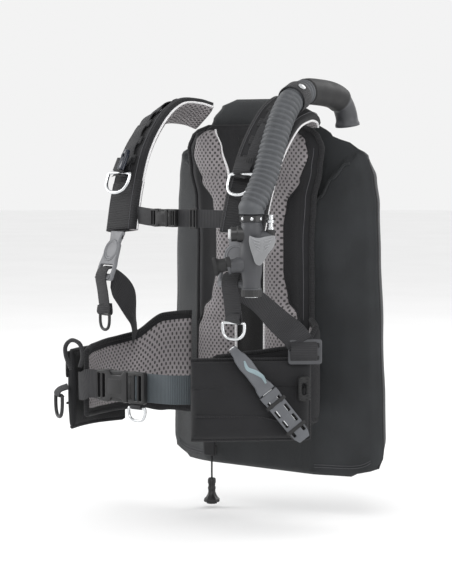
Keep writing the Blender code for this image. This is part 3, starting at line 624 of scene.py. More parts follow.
def make_ring_tab(side, sign):
    """The webbing loop that holds the ring, and the ring."""
    centre = V((0.101 if sign > 0 else -0.1115, -0.174, 0.11))
    out = V((0.26 * sign, -0.88, 0.38)).normalized()
    top = centre + out * 0.019
    down = V((0, -0.38, -0.92)).normalized()
    place = axes(top, down.cross(V((1, 0, 0))).normalized(), -down)
    ring = d_ring(side + " shoulder ring", place, 0.046, 0.034, 0.0024, STEEL, side + "_ring")
    put(ring, "steel", side + "_shoulder_ring")
    loop = [top - out * 0.0135 + V((0, 0, 0.026)), top - out * 0.0085 + V((0, -0.001, 0.016)),
            top - out * 0.001 + V((0, -0.002, 0.006)), top + out * 0.003 - V((0, 0, 0.0005)),
            top - out * 0.0005 - V((0, 0, 0.005)), top - out * 0.006 - V((0, 0, 0.0045))]
    tab = webbing(side + " ring tab", loop, [out, out, out, out * 0.6 - V((0, 0, 0.5)), -out, -out],
            0.025, TAPE)
    band = webbing(side + " ring band", [top - out * 0.0105 + V((-0.026 * sign, 0.008, 0.01)),
            top - out * 0.007 + V((0, 0, 0.0125)), top - out * 0.0105 + V((0.026 * sign, 0.006, 0.014))],
            out, 0.02, BINDING)


# --------------------------------------------------------- shoulder buckles

BUCKLE_CENTRE, BUCKLE_FACING = (0.112, -0.212, 0.008), (0.24, -0.91, 0.34)


def make_shoulder_buckle(side, sign):
    """The disc at the strap end and the frame that swivels on it."""
    facing = flip(BUCKLE_FACING, sign).normalized()
    place = axes(flip(BUCKLE_CENTRE, sign), facing, (0, 0, 1))
    frame_body = side + "_frame"
    disc = turned(side + " buckle disc", place @ Matrix.Translation((0, 0, -0.0015)),
            mm((12.5, -3), (14.2, -2), (14.2, 3.5), (13.4, 4.8), (11.6, 5.2), (10.6, 4.4), (10, 2.8),
            (4, 3), (1, 3.6)), GREY, sides=48)
    put(disc, "grey_plastic", side + "_buckle_disc")
    neck = plate(side + " buckle neck", place @ Matrix.Translation((0, 0.0135, -0.0006)),
            mirrored(mm((10, -8), (12.8, 4), (15, 11.5), (14.2, 14))), 0.0058, GREY, bevel=0.0013)
    outline = mirrored(mm((11, 14.5), (15.5, 9), (16.8, 0), (18, -11), (20.5, -20), (20.5, -40), (18.5, -43)))
    eye = circle(0.0148, 36)
    slot_hole = oblong(0.032, 0.013, 0.0025, centre=(0, -0.027))
    flat = place @ Matrix.Translation((0, -0.001, 0))
    frame_piece = plate(side + " buckle frame", flat, outline, 0.0056, GREY, frame_body,
            holes=(slot_hole,), bevel=0.0014)
    put(frame_piece, "grey_plastic", side + "_buckle_frame")
    rim = tube(side + " buckle rim", [flat @ V((x, y, 0.0026)) for x, y in eye], 0.0014, GREY, frame_body,
            True)
    for k in range(5):
        flute = tube(side + " buckle flute", [flat @ V((x, -0.0365 - 0.0012 * k, 0.003 + 0.0003 * k))
                for x in (-0.0175, -0.006, 0.006, 0.0175)], 0.0006, GREY, frame_body, sides=8)
    holder = webbing(side + " buckle holder", [place @ V(p)
            for p in mm((0, 34, -4), (0, 24, -1), (0, 17.5, -2))], facing, 0.029, TAPE, thick=0.003)
    make_pull(side, sign, place, facing)


def make_pull(side, sign, place, facing):
    """The pull webbing through the frame, and the ring on its end."""
    near = [place @ V(p) for p in mm((0, -23, -4), (0, -26.2, 1), (0, -30, 5.4), (0, -42, 5.6))]
    end = near[-1] + V((0, 0.008, -0.044))
    points = near + [near[-1] + V((0, 0.004, -0.02)), end]
    pull = webbing(side + " pull webbing", points, [facing, facing, facing] + [V((0.2 * sign, -0.97, 0))]
            * 3, 0.025, TAPE, side + "_frame", thick=0.0019)
    put(pull, "webbing", side + "_pull_webbing")
    width = 0.036 if sign > 0 else 0.028
    ring = d_ring(side + " pull ring", axes(end - V((0, 0, 0.0052)), (0.25 * sign, -0.97, 0), (0, 0, 1)),
            width, 0.026, 0.0021, BLACK if sign < 0 else STEEL, side + "_pull")
    put(ring, "steel", side + "_pull_ring")
    turn = [end + V((0, -0.0013, 0.005)), end + V((0, -0.003, -0.004)), end + V((0, 0.0006, -0.0078)),
            end + V((0, 0.003, -0.004)), end + V((0, 0.0016, 0.008))]
    loop = webbing(side + " pull loop", turn, [V((0, -1, 0)), V((0, -1, 0)), V((0, 0, -1)), V((0, 1, 0)),
            V((0, 1, 0))], 0.0245, TAPE, side + "_frame")


LOWER_ROUTE = (((0.1145, -0.211, -0.03), (0.3, -0.85, 0.4)), ((0.122, -0.176, -0.056), (0.4, -0.6, 0.65)),
        ((0.134, -0.148, -0.083), (0.55, -0.65, 0.5)), ((0.149, -0.136, -0.0995), (0.72, -0.68, 0.1)))


POCKET_SIDE = V((0.716, -0.698, 0))


def make_lower_webbing(side, sign):
    """The webbing from the shoulder buckle down to the waist."""
    route = [(flip(p, sign), flip(n, sign)) for p, n in LOWER_ROUTE]
    if sign < 0:
        route[3:] = [(V((-0.1415, -0.135, -0.109)), V((-0.66, -0.66, 0.35))),
                (V((-0.145, -0.13, -0.122)), V((-0.76, -0.6, 0.25)))]
    else:
        route.append((V((0.157, -0.13, -0.113)), POCKET_SIDE))
    strap = webbing(side + " lower webbing", [p for p, _ in route], [n for _, n in route], 0.0365, TAPE,
            thick=0.002, steps=8)
    put(strap, "webbing", side + "_lower_webbing")


# ------------------------------------------------------------------ air cell

CELL_OUTLINE = mm((-309, 150), (-296, 188), (-280, 193), (-200, 190), (-100, 187), (0, 184), (70, 180),
        (106, 176), (140, 169), (154, 150), (168, 120), (190, 90), (211, 72), (219, 45))
CELL_LOW, CELL_TOP, CELL_FLAT = -0.3095, 0.2195, 0.097
CELL_FACE_Y, CELL_BEND = -0.026, 0.36
FOLD_DEPTH, FOLD_RUN = 0.0075, 0.009
REAR_Y, REAR_SWELL = -0.0135, 0.04608
FOLD_EDGE = mm((86, 40), (106, 82), (125, 109), (146, 129), (176, 153))


def cell_half(z):
    """Half the width of the air cell at a height."""
    return blend_table(CELL_OUTLINE, z)


def cell_face(side):
    """The flat front face, which bends back outside the pad."""
    return CELL_FACE_Y + CELL_BEND * max(0.0, side - CELL_FLAT)


def cell_front(x, z):
    """The front of the air cell, with the fold at its shoulder and soft waves."""
    side = abs(x)
    y = cell_face(side)
    fold = blend_table(FOLD_EDGE, side) if side > FOLD_EDGE[0][0] else 0.25
    y += FOLD_DEPTH * ease(0.0, FOLD_RUN, z - fold) * ease(0.086, 0.1, side)
    puff = 0.0035 * math.sin(math.pi * ease(0.1, 0.2, side)) * ease(-0.3, -0.2, z)
    sway = noise.noise(V((x * 14, 3.1, z * 9))) * 0.0045 + noise.noise(V((x * 30, 7.7, z * 14))) * 0.0018
    return y - puff + sway * ease(0.098, 0.125, side)


def cell_rear(x, z):
    """The rear of the air cell, which swells in each wing."""
    side = abs(x)
    half = cell_half(z)
    share = min(1.0, max(0.0, (side - CELL_FLAT) / max(0.001, half - CELL_FLAT)))
    ends = max(0.0, min(1.0, (z + 0.309) / 0.05, (0.185 - z) / 0.07))
    base = max(REAR_Y, cell_face(side) + 0.006)
    swell = REAR_SWELL * ends * math.sin(math.pi * share) ** 0.6 if 0 < share < 1 else 0.0
    sway = noise.noise(V((x * 22, 9.4, z * 13))) * 0.003 * (1 if share else 0)
    return base + swell + sway


def cell_shape(a, t):
    """Front and rear of the air cell, rounded off at its edges."""
    z = CELL_LOW + (CELL_TOP - CELL_LOW) * t
    half = cell_half(z)
    x = -half + 2 * half * a
    edge = min(1.0, (half - abs(x)) / 0.012, (z - CELL_LOW) / 0.008 + 0.05, (CELL_TOP - z) / 0.008 + 0.05)
    round_off = math.sqrt(max(0.0, 1 - (1 - edge) ** 2))
    front, rear = cell_front(x, z), cell_rear(x, z)
    middle = (front + rear) / 2
    return (V((x, middle + (front - middle) * round_off, z)), V((x, middle + (rear - middle) * round_off, z)))


def make_air_cell():
    """The air cell with its hem stitching, side welts and shoulder fold."""
    cell = cushion("air cell", cell_shape, BLADDER, (110, 120))
    put(cell, "bladder_nylon", "air_cell")
    for sign in (-1, 1):
        hem = [V((sign * (0.1 + 0.079 * k / 20), 0, -0.2985 + 0.01 * (k / 20) ** 6)) for k in range(21)]
        for rise in (0.0, 0.0035):
            line = [V((p.x, cell_front(p.x, p.z) - 0.0004, p.z + rise)) for p in hem]
            seam = tube("air cell hem stitching", line, 0.0005, THREAD, sides=6)
        border = []
        for k in range(61):
            z = -0.296 + 0.43 * k / 60
            x = sign * (cell_half(z) - 0.0025)
            border.append(V((x, (cell_front(x, z) + cell_rear(x, z)) / 2, z)))
        welt = tube("air cell welt", border, 0.0026, BINDING)
        lip = []
        for k in range(31):
            x = 0.1 + (cell_half(0.15) - 0.104) * k / 30
            lip.append(V((sign * x, cell_front(x, blend_table(FOLD_EDGE, x) - 0.002) - 0.0006,
                    blend_table(FOLD_EDGE, x) - 0.001)))
        crease = tube("air cell fold", lip, 0.0019, BLADDER)


# ------------------------------------------------------------------ back pad

PAD_OUTLINE = mm((-225, 90), (-215, 101), (-150, 104), (-50, 104), (20, 103), (77, 107), (120, 117),
        (150, 121), (170, 112), (180, 85))
LOBE_INNER = mm((-215, 30), (-140, 26), (-60, 26.5), (20, 27), (70, 32), (110, 40), (150, 52), (177, 64))
LOBE_OUTER = mm((-215, 94), (-150, 99), (-110, 97), (-80, 86), (-65, 71), (-20, 62), (40, 62), (73, 68),
        (106, 92), (140, 106), (160, 102), (177, 82))
PAD_LOW, PAD_TOP = -0.2255, 0.1805


def pad_front(x, z):
    """The front of the pad, sunk along the spine and lightly quilted."""
    side = abs(x)
    half = blend_table(PAD_OUTLINE, z)
    rim = ease(0.0, 0.016, half - side)
    spine = 1 - ease(0.02, 0.03, side)
    quilt = 0.0012 * math.sin(side / 0.007) * (1 - spine)
    return -0.0375 - 0.0085 * rim + 0.0025 * spine - quilt * rim


def pad_shape(a, t):
    """Front and rear of the pad."""
    z = PAD_LOW + (PAD_TOP - PAD_LOW) * t
    half = blend_table(PAD_OUTLINE, z)
    x = -half + 2 * half * a
    return V((x, pad_front(x, z), z)), V((x, -0.032, z))


def lobe_shape(sign):
    """One of the two mesh cushions, with a crease where its panels meet."""
    low, top = -0.215, 0.177

    def shape(a, t):
        z = low + (top - low) * t
        inner, outer = blend_table(LOBE_INNER, z), blend_table(LOBE_OUTER, z)
        x = inner + (outer - inner) * a
        ends = min(1.0, t / 0.03, (1 - t) / 0.03)
        puff = (math.sin(math.pi * a) ** 0.42 if 0 < a < 1 else 0) * math.sqrt(max(0, 1 - (1 - ends) ** 2))
        crease = 0.0045 * math.exp(-((z - 0.107) / 0.006) ** 2) + 0.0035 * math.exp(-((z
                + 0.098) / 0.007) ** 2)
        rear = -0.04
        front = min(rear - 0.0005, rear - 0.0175 * puff + crease * (0.4 + 0.6 * puff)
                + noise.noise(V((x * 20, sign, z * 14))) * 0.0016)
        return V((x * sign, front, z)), V((x * sign, rear, z))
    return shape


def outline_points(table, low, top, count, sign=1):
    """The points of an edge, from a table of half widths by height."""
    return [V((sign * blend_table(table, low + (top - low) * k / count), 0,
            low + (top - low) * k / count)) for k in range(count + 1)]


def make_back_pad():
    """The pad, its binding and spine, and a mesh cushion with piping on each side."""
    base = cushion("back pad", pad_shape, FABRIC, (70, 90))
    put(base, "black_fabric", "back_pad")
    right = outline_points(PAD_OUTLINE, PAD_LOW + 0.001, PAD_TOP - 0.001, 70)
    left = [V((-p.x, p.y, p.z)) for p in reversed(right)]
    rim = [V((p.x, -0.0365, p.z)) for p in right + left]
    binding = tube("back pad binding", rim, 0.0038, BINDING, loop=True)
    spine = cushion("back pad spine", lambda a, t: (V(((a - 0.5) * 0.05,
            -0.0455 + 0.0016 * math.cos(6.28 * a), -0.21 + 0.375 * t)),
            V(((a - 0.5) * 0.05, -0.043, -0.21 + 0.375 * t))), LINING, (14, 40))
    for side, sign in SIDES:
        lobe = cushion(side + " back cushion", lobe_shape(sign), MESH, (30, 110))
        for table, radius, look in ((LOBE_INNER, 0.0021, PIPING), (LOBE_OUTER, 0.0016, BINDING)):
            line = outline_points(table, -0.214, 0.1765, 80, sign)
            trim = tube(side + " cushion piping", [V((p.x, -0.0455, p.z)) for p in line], radius, look)
        border = [V((sign * (blend_table(PAD_OUTLINE, z) - 0.0095), 0, z))
                for z in (-0.09 + 0.24 * k / 50 for k in range(51))]
        seam = tube(side + " pad stitching", [V((p.x, pad_front(p.x, p.z) - 0.0003, p.z))
                for p in border], 0.0005, THREAD, sides=6)


# --------------------------------------------------- waist wings and pockets

RIGHT_WING = (((-0.11, -0.046, -0.16), (-0.4, 0.9, 0), 0.146),
        ((-0.143, -0.069, -0.161), (-0.74, 0.67, 0), 0.14),
        ((-0.164, -0.11, -0.171), (-0.96, 0.28, 0), 0.108), ((-0.17, -0.155, -0.175), (-1, 0, 0), 0.104),
        ((-0.163, -0.198, -0.178), (-0.97, -0.25, 0), 0.1),
        ((-0.153, -0.223, -0.18), (-0.93, -0.37, 0), 0.094))
LEFT_WING = (((0.11, -0.046, -0.16), (0.4, 0.9, 0), 0.146),
        ((0.13, -0.062, -0.161), (0.85, 0.53, 0), 0.132),
        ((0.13, -0.09, -0.171), (0.93, -0.37, 0), 0.108),
        ((0.108, -0.115, -0.175), (0.75, -0.66, 0), 0.104),
        ((0.078, -0.144, -0.178), (0.69, -0.72, 0), 0.1),
        ((0.045, -0.176, -0.18), (0.69, -0.72, 0), 0.094))
RIGHT_POCKET = (((-0.176, -0.229, -0.19), (-0.93, -0.37, 0)),
        ((-0.188, -0.196, -0.19), (-0.97, -0.25, 0)), ((-0.195, -0.155, -0.19), (-1, 0, 0)),
        ((-0.189, -0.108, -0.19), (-0.97, 0.22, 0)))
LEFT_POCKET = (((0.04, -0.221, -0.19), (0.69, -0.72, 0)), ((0.073, -0.189, -0.19), (0.7, -0.71, 0)),
        ((0.112, -0.149, -0.19), (0.72, -0.69, 0)), ((0.152, -0.105, -0.19), (0.76, -0.65, 0)))
POCKET_HALF = 0.056


WALL_ROUNDING = 0.012
WALL_END_SLOPE = 0.12 / WALL_ROUNDING * 1.3


def walled(name, centres, outs, halves, thicks, look, puff=0.35, counts=(80, 40)):
    """A padded wall: it follows a line along its length and stands half this tall either side."""
    line, facing = spline(centres, 16), [n.normalized() for n in spline(outs, 16)]
    count = len(line) - 1
    tall = [blend_table([(k / (len(halves) - 1), h) for k, h in enumerate(halves)], i / count)
            for i in range(count + 1)]

    def shape(a, t):
        spot = a * count
        i = min(int(spot), count - 1)
        part = spot - i
        centre = line[i].lerp(line[i + 1], part)
        out = facing[i].lerp(facing[i + 1], part).normalized()
        half = tall[i] + (tall[i + 1] - tall[i]) * part
        edge = min(1.0, (0.5 - abs(t - 0.5)) * 2 * half / WALL_ROUNDING,
                (0.5 - abs(a - 0.5)) * WALL_END_SLOPE)
        swell = (1 - puff) * math.sqrt(max(0.0, 1 - (1 - edge) ** 2)) + puff * math.sin(math.pi
                * min(1, max(0, t))) * math.sin(math.pi * a) ** 0.35 if 0 < a < 1 else 0.0
        height = V((0, 0, (2 * t - 1) * half))
        wave = 1 + 0.1 * noise.noise((centre + height) * 28)
        return (centre + height + out * thicks[0] * swell * wave + out * 0.0004,
                centre + height - out * thicks[1] * swell * wave - out * 0.0004)

    run = sum((b - a).length for a, b in zip(line, line[1:]))
    return cushion(name, shape, look, counts, flat=(run, 2 * tall[count // 2])), line, facing, tall


def wall_rim(name, line, tall, radius):
    """A bound edge round the top, the far end and the bottom of a wall."""
    top = [point + V((0, 0, half)) for point, half in zip(line, tall)]
    low = [point - V((0, 0, half)) for point, half in zip(line, tall)]
    far = [top[-1].lerp(low[-1], k / 8) for k in range(1, 8)]
    trim = tube(name, top + far + list(reversed(low)), radius, BINDING)


def make_wing(side, rows):
    """A waist wing: cover, mesh lining and binding."""
    centres, outs = [V(c) for c, _, _ in rows], [V(n) for _, n, _ in rows]
    halves = [height / 2 - 0.002 for _, _, height in rows]
    wing, line, _, tall = walled(side + " wing cover", centres, outs, halves, (0.0058, 0.002), FABRIC, 0.1)
    put(wing, "black_fabric", side + "_waist_wing")
    inner, *_ = walled(side + " wing mesh", centres, outs, [h - 0.007 for h in halves], (0.0005, 0.0085),
            MESH, 0.45)
    wall_rim(side + " wing binding", line, tall, 0.0038)


def make_pocket(side, rows, thick):
    """A pocket with a lid, a bound rim and a piped edge."""
    centres, outs = [V(c) for c, _ in rows], [V(n) for _, n in rows]
    pocket, line, facing, tall = walled(side + " pocket", centres, outs, [POCKET_HALF - 0.002] * 4,
            (thick * 0.56, thick * 0.4), POCKET, 0.45)
    put(pocket, "black_fabric", side + "_pocket")
    lid_halves = [0.0185] * 4
    lifted = [c + V((0, 0, POCKET_HALF - 0.0215)) + n.normalized() * thick * 0.42 for c,
            n in zip(centres, outs)]
    lid, *_ = walled(side + " pocket lid", lifted, outs, lid_halves, (0.004, 0.0015), POCKET, 0.25, (60, 16))
    wall_rim(side + " pocket binding", line, tall, 0.003)
    low = [line[i] - V((0, 0, POCKET_HALF - 0.017 - 0.018 * ease(0.0, 0.45, 1 - i / len(line))))
            + facing[i] * (thick * 0.5) for i in range(2, len(line) - 3)]
    seam = tube(side + " pocket piping", low, 0.0017, BINDING)


for SIDE, SIGN in SIDES:
    make_strap(SIDE, SIGN)
    make_shoulder_buckle(SIDE, SIGN)
    make_lower_webbing(SIDE, SIGN)
make_air_cell()
make_back_pad()
make_wing("right", RIGHT_WING)
make_wing("left", LEFT_WING)
make_pocket("right", RIGHT_POCKET, 0.018)
make_pocket("left", LEFT_POCKET, 0.026)

# ---------------------------------------------------------- hose, inflator

HOSE_ROUTE = mm((121, 22, 181), (121, 18, 198), (123, 4, 214), (124, -18, 223), (126, -52, 226.5),
        (130, -88, 226), (139, -128, 214), (144, -156, 188), (147.5, -179, 150), (150, -197, 115),
        (151, -217, 86), (151, -227, 72))
RIB_PITCH = 0.0075
INFLATOR = V((0.151, -0.227, 0.0))
SIDEWAYS, OUTWARDS, UP = V((0.766, 0.643, 0)), V((0.643, -0.766, 0)), V((0, 0, 1))


def resampled(line, gap):
    """The same line with even short steps."""
    even, left = [line[0]], gap
    for a, b in zip(line, line[1:]):
        length = (b - a).length
        spot = left
        while spot < length:
            even.append(a.lerp(b, spot / length))
            spot += gap
        left = spot - length
    return even


def make_hose():
    """The corrugated hose, its rear elbow and the cloth sleeve between them."""
    route = spline(HOSE_ROUTE, 12)
    route.append(V((INFLATOR.x, INFLATOR.y, 0.064)))
    start = 27
    line = resampled(route[start:], RIB_PITCH / 6)

    def radius(t):
        run = t * (len(line) - 1) / 6
        collar = ease(3.2, 3.0, run) + ease((len(line) - 1) / 6 - 0.9, (len(line) - 1) / 6 - 0.6, run)
        wave = 0.5 + 0.5 * math.cos(2 * math.pi * run)
        return 0.0146 + 0.003 * (wave ** 0.45) * (1 - min(1, collar)) + 0.0022 * min(1, collar)
    hose = tube("corrugated hose", line, radius, RUBBER, sides=36)
    put(hose, "hose_rubber", "corrugated_hose")
    bend = resampled(route[:start + 4], 0.003)

    def collar_radius(t):
        step = ease(0.1, 0.14, t) - ease(0.8, 0.84, t)
        return 0.0172 - 0.0018 * step
    elbow = tube("hose elbow", bend, collar_radius, DARK, sides=36)
    put(elbow, "black_plastic", "hose_elbow")
    sleeve = tube("hose sleeve", resampled(route[start:start + 34], 0.003), 0.0181, SOFT_BLACK, sides=36)
    make_keeper()


def make_keeper():
    """The cloth tab that holds the hose to the strap, with its press stud."""
    a, b = V((0.1345, -0.108, 0.2212)), V((0.139, -0.128, 0.214))
    ahead = (b - a).normalized()
    middle = (a + b) / 2
    place = axes(middle, ahead, UP)
    ring = [place @ V((x, y, 0)) for x, y in circle(0.0193, 40)]
    outs = [(p - middle).normalized() for p in ring]
    band = sweep("hose keeper", ring, outs, rounded(0.023, 0.0018, steps=2), TAPE, loop=True)
    put(band, "black_fabric", "hose_keeper")
    out = (place @ V((0.5, 0.6, 0)) - middle).normalized()
    stud = turned("keeper stud", axes(middle + out * 0.02, out, ahead),
            mm((5.2, 0), (5.2, 1), (4, 1.9), (1.6, 2.3)), STEEL, sides=24)


def make_inflator():
    """The inflator barrel with its rings, studs, deflate button and fittings."""
    base = axes(INFLATOR, UP, OUTWARDS)
    barrel = mm((9, -44.5), (12.2, -44), (13.2, -42.5), (13.4, -33), (12.2, -32), (11.8, -24),
            (12.6, -20), (13.8, -12), (14.6, 0), (14.8, 15), (14, 26), (13.2, 30), (14, 33), (14.8, 38),
            (14.8, 48), (13.8, 50), (13.8, 53), (15, 54.5), (15, 62.5), (14, 63.5), (5, 63.5))
    body = turned("inflator body", base, barrel, DARK, sides=48)
    put(body, "black_plastic", "inflator_body")
    ring = turned("inflator lock ring", base, mm((14.9, 54), (15.9, 54.6), (15.9, 62.2), (14.9, 62.8)),
            BLACK, sides=72, ribs=18, depth=0.0006)
    cap = turned("inflator cap ring", base, mm((13.3, -44), (14, -43.6), (14, -35.2), (13.3, -34.6)),
            BLACK, sides=72, ribs=24, depth=0.0006)
    insert = turned("inflator cap insert", base, mm((8.6, -45.2), (9.2, -44.9), (9.2, -43)), STEEL)
    for k in (-1, 0, 1):
        out = (OUTWARDS * math.cos(0.9 * k) - SIDEWAYS * math.sin(0.9 * k)).normalized()
        stud = turned("inflator stud", axes(INFLATOR + out * 0.015 + UP * 0.0583, out, UP),
                mm((2.1, 0), (2.1, 0.8), (1.2, 1.3)), STEEL, sides=16)
    boss = turned("deflate boss", axes(INFLATOR - SIDEWAYS * 0.006 + UP * 0.038, -SIDEWAYS, UP),
            mm((11, 0), (11, 12), (9.8, 13.5), (9.8, 20.5), (8.4, 21.4), (7.4, 20.8)), BLACK)
    button = turned("deflate button", axes(INFLATOR - SIDEWAYS * 0.024 + UP * 0.038, -SIDEWAYS, UP),
            mm((6.6, -3), (6.6, 5.5), (5.6, 6.8), (3, 6.4), (0.8, 6.2)), PALE, "button")
    put(button, "pale_plastic", "deflate_button")
    make_arm()
    make_mouthpiece()
    make_lever()


def make_arm():
    """The side arm and the quick connector on it."""
    arm = turned("inflator arm", axes(INFLATOR + UP * 0.034, SIDEWAYS, UP),
            mm((10, 6), (8.8, 14), (7.8, 20), (6.6, 26.5), (4, 28)), DARK)
    spot = axes(INFLATOR + SIDEWAYS * 0.0245, UP, OUTWARDS)
    nut = turned("quick connector", spot, mm((5.8, 30), (6.2, 31), (6.2, 43), (5.6, 44)), BLACK, sides=48,
            ribs=16, depth=0.0006)
    put(nut, "steel", "quick_connector")
    tip = turned("connector nipple", spot, mm((5, 43.8), (5, 46.8), (3.6, 47.4), (3.6, 52), (5.2, 52.8),
            (5.4, 56), (4, 57), (4, 61.2), (4.6, 62), (4.6, 63.2), (2.2, 63.5)), STEEL)


def make_mouthpiece():
    """The mouthpiece on its port."""
    aim = (-SIDEWAYS - UP * 0.18).normalized()
    port = turned("mouthpiece port", axes(INFLATOR - SIDEWAYS * 0.008 - UP * 0.001, aim, UP),
            mm((10.8, 0), (10.4, 10), (9.2, 14), (9.2, 20), (10, 20.8), (10, 24)), DARK)
    place = axes(INFLATOR - SIDEWAYS * 0.033 - UP * 0.002, aim, UP) @ Matrix.Diagonal((1.0, 0.92, 1.0, 1.0))
    lips = turned("mouthpiece", place, mm((8.6, -6), (10.6, -5.5), (10.6, -1), (9.4, 0.4), (9.6, 8),
            (10.6, 10.5), (13.4, 13), (13.6, 15), (12.8, 17.2), (10.4, 16.8), (9, 11), (8.4, 2)),
            SOFT_BLACK, sides=48)
    put(lips, "black_plastic", "mouthpiece")


LEVER_OUTLINE = mm((-13, 19), (-6, 16.5), (0, 16), (8, 17.8), (19, 19), (20.8, 15), (20.5, 10), (17.5, 3),
        (12, -4), (7.5, -12), (2, -19), (-2, -19.5), (-6, -16), (-9, -7), (-12, 2), (-13.8, 12))


def make_lever():
    """The heart-shaped inflate lever with its grip ribs."""
    place = axes(INFLATOR + OUTWARDS * 0.0236 + SIDEWAYS * 0.01 + UP * 0.018, OUTWARDS, UP)
    mirror = 1 if (place.to_3x3() @ V((1, 0, 0))).dot(SIDEWAYS) > 0 else -1
    outline = [V((x * mirror, y, 0)) for x, y in LEVER_OUTLINE]
    smooth = [(p.x, p.y) for p in spline(outline + [outline[0]], 3)[:-1]]
    lever = plate("inflate lever", place, smooth, 0.0056, LEVER_GREY, "lever", bevel=0.0018)
    put(lever, "grey_plastic", "inflate_lever")
    for wing in (-1, 1):
        for k in range(4):
            y = 0.0125 - 0.0042 * k
            reach = 0.0135 - 0.0022 * k
            middle = 0.0035 * mirror
            line = [place @ V((middle + wing * (0.0026 + (reach - 0.0026) * s), y + 0.003 * s * s,
                    0.0029)) for s in (0, 0.25, 0.5, 0.75, 1)]
            rib = tube("lever rib", line, 0.0009, LEVER_GREY, "lever", sides=8)
    stem = turned("lever stem", axes(INFLATOR + OUTWARDS * 0.012 + SIDEWAYS * 0.006 + UP * 0.022,
            OUTWARDS, UP), mm((6.2, 0), (5.6, 8), (7, 10)), BLACK, "lever")


# ---------------------------------------------------------------- belt line

BELT_Z, BELT_Y, STERNUM_Z = -0.178, -0.238, 0.055


def side_release(name, centre, size, plug_length, bodies, nodes, look):
    """A side-release buckle lying across the front: a socket with open sides and a plug on its left."""
    wide, high, thick = size
    w, h = wide / 2, high / 2
    facing = axes(centre, (0, -1, 0), (0, 0, 1))
    shares = ((-1, 0.92), (-0.55, 1), (-0.2, 0.98), (-0.05, 0.72), (0.62, 0.72), (0.8, 0.98), (1, 0.92))
    body_outline = [(w * x, -h * y) for x, y in shares] + [(w * x, h * y) for x, y in reversed(shares)]
    windows = [oblong(wide * 0.085, high * 0.74, wide * 0.03, centre=(-w * x, 0)) for x in (0.84, 0.54)]
    socket = plate(name + " socket", facing, body_outline, thick, look, bodies[0], windows, thick * 0.14)
    put(socket, "black_plastic", nodes[0])
    face = plate(name + " socket panel", facing @ Matrix.Translation((w * 0.22, 0, thick * 0.47)),
            oblong(wide * 0.46, high * 0.46, wide * 0.06), thick * 0.12, look, bodies[0],
            bevel=thick * 0.05)
    for edge in (-1, 1):
        grip = plate(name + " plug prong", facing @ Matrix.Translation((w * 0.3, edge * h * 0.8, 0)),
                oblong(wide * 0.5, high * 0.15, wide * 0.04), thick * 0.62, look, bodies[1],
                bevel=thick * 0.12)
    start = w + 0.0006
    ladder = plate(name + " plug", facing @ Matrix.Translation((start + plug_length / 2, 0, 0)),
            oblong(plug_length, high * 0.98, plug_length * 0.1), thick * 0.78, look, bodies[1],
            [oblong(plug_length * 0.17, high * 0.76, 0.001, centre=(plug_length * (k * 0.27), 0))
            for k in (0.0, 1.0)], thick * 0.14)
    put(ladder, "black_plastic", nodes[1])
    for k in range(3):
        bar = tube(name + " plug rib", [facing @ V((start + plug_length * (0.1 + 0.09 * k), y,
                thick * 0.4)) for y in (-h * 0.72, 0, h * 0.72)], thick * 0.06, look, bodies[1], sides=8)


RIGHT_BELT = mm((-159, -231, -184), (-147, -237.5, -183), (-133, -239.5, -178), (-118, -239, -178),
        (-109.5, -238.5, -178))
LEFT_BELT = mm((-40, -229, -178), (-8, -229, -178), (10, -227, -178), (24, -214, -178), (34, -199, -178),
        (46, -185.5, -178))
GRAB_POINTS = mm((-162, -244, -160), (-170, -246, -143), (-172, -245, -128), (-162, -243, -119),
        (-148, -241, -124), (-142, -242, -140), (-145, -244, -156))


def make_belt():
    """The waist webbing, its buckle, the grab loop and both rings."""
    belt = webbing("right waist webbing", RIGHT_BELT, [(-0.5, -0.86, 0), (-0.35, -0.93, 0), (-0.1, -1, 0),
            (0, -1, 0), (0, -1, 0)], 0.04, TAPE, thick=0.0028)
    put(belt, "webbing", "right_waist_webbing")
    left = webbing("left waist webbing", LEFT_BELT, [(0, -1, 0), (0, -1, 0), (0.3, -0.95, 0),
            (0.7, -0.7, 0), (0.75, -0.66, 0), (0.75, -0.66, 0)], 0.04, GREY_TAPE, "harness", 0.0022)
    put(left, "webbing", "left_waist_webbing")
    wrap = webbing("plug webbing", mm((-56, -236.5, -178), (-47, -239.2, -178), (-40, -237.5, -178),
            (-36, -233.5, -178)), (0, -1, 0), 0.0392, GREY_TAPE, "waist_plug", 0.0024)
    side_release("waist buckle", (-0.0855, BELT_Y, BELT_Z), (0.056, 0.045, 0.0125), 0.0295,
            ("harness", "waist_plug"), ("waist_buckle_socket", "waist_buckle_plug"), BLACK)
    grab = webbing("grab loop", GRAB_POINTS, (-0.1, -0.99, 0), 0.0058, TAPE, thick=0.0062)
    put(grab, "webbing", "grab_loop")
    small = d_ring("waist ring", axes((-0.043, BELT_Y, -0.2035), (0, -1, 0), UP), 0.034, 0.022, 0.002,
            STEEL, "waist_d")
    put(small, "steel", "waist_ring")
    hold = webbing("waist ring tab", mm((-43, -232.5, -201), (-43, -240.5, -201.8), (-43, -241.5, -205),
            (-43, -237, -207.2), (-43, -233, -204)), [(0, -1, 0.3), (0, -1, 0), (0, -1, -0.5),
            (0, -0.2, -1), (0, 1, 0)], 0.02, TAPE)
    wide = d_ring("utility ring", axes((-0.1905, -0.24, -0.196), (-0.45, -0.89, 0), UP), 0.034, 0.036,
            0.0026, BLACK, "utility_d")
    put(wide, "black_plastic", "utility_ring")
    holder = webbing("utility ring tab", mm((-179, -233, -186), (-187, -242, -190.5),
            (-190.5, -244, -198), (-188, -238, -201)),
            [(-0.5, -0.8, 0.3), (-0.5, -0.8, 0.3), (-0.45, -0.8, -0.4), (0.2, 0.2, -1)], 0.022, TAPE)


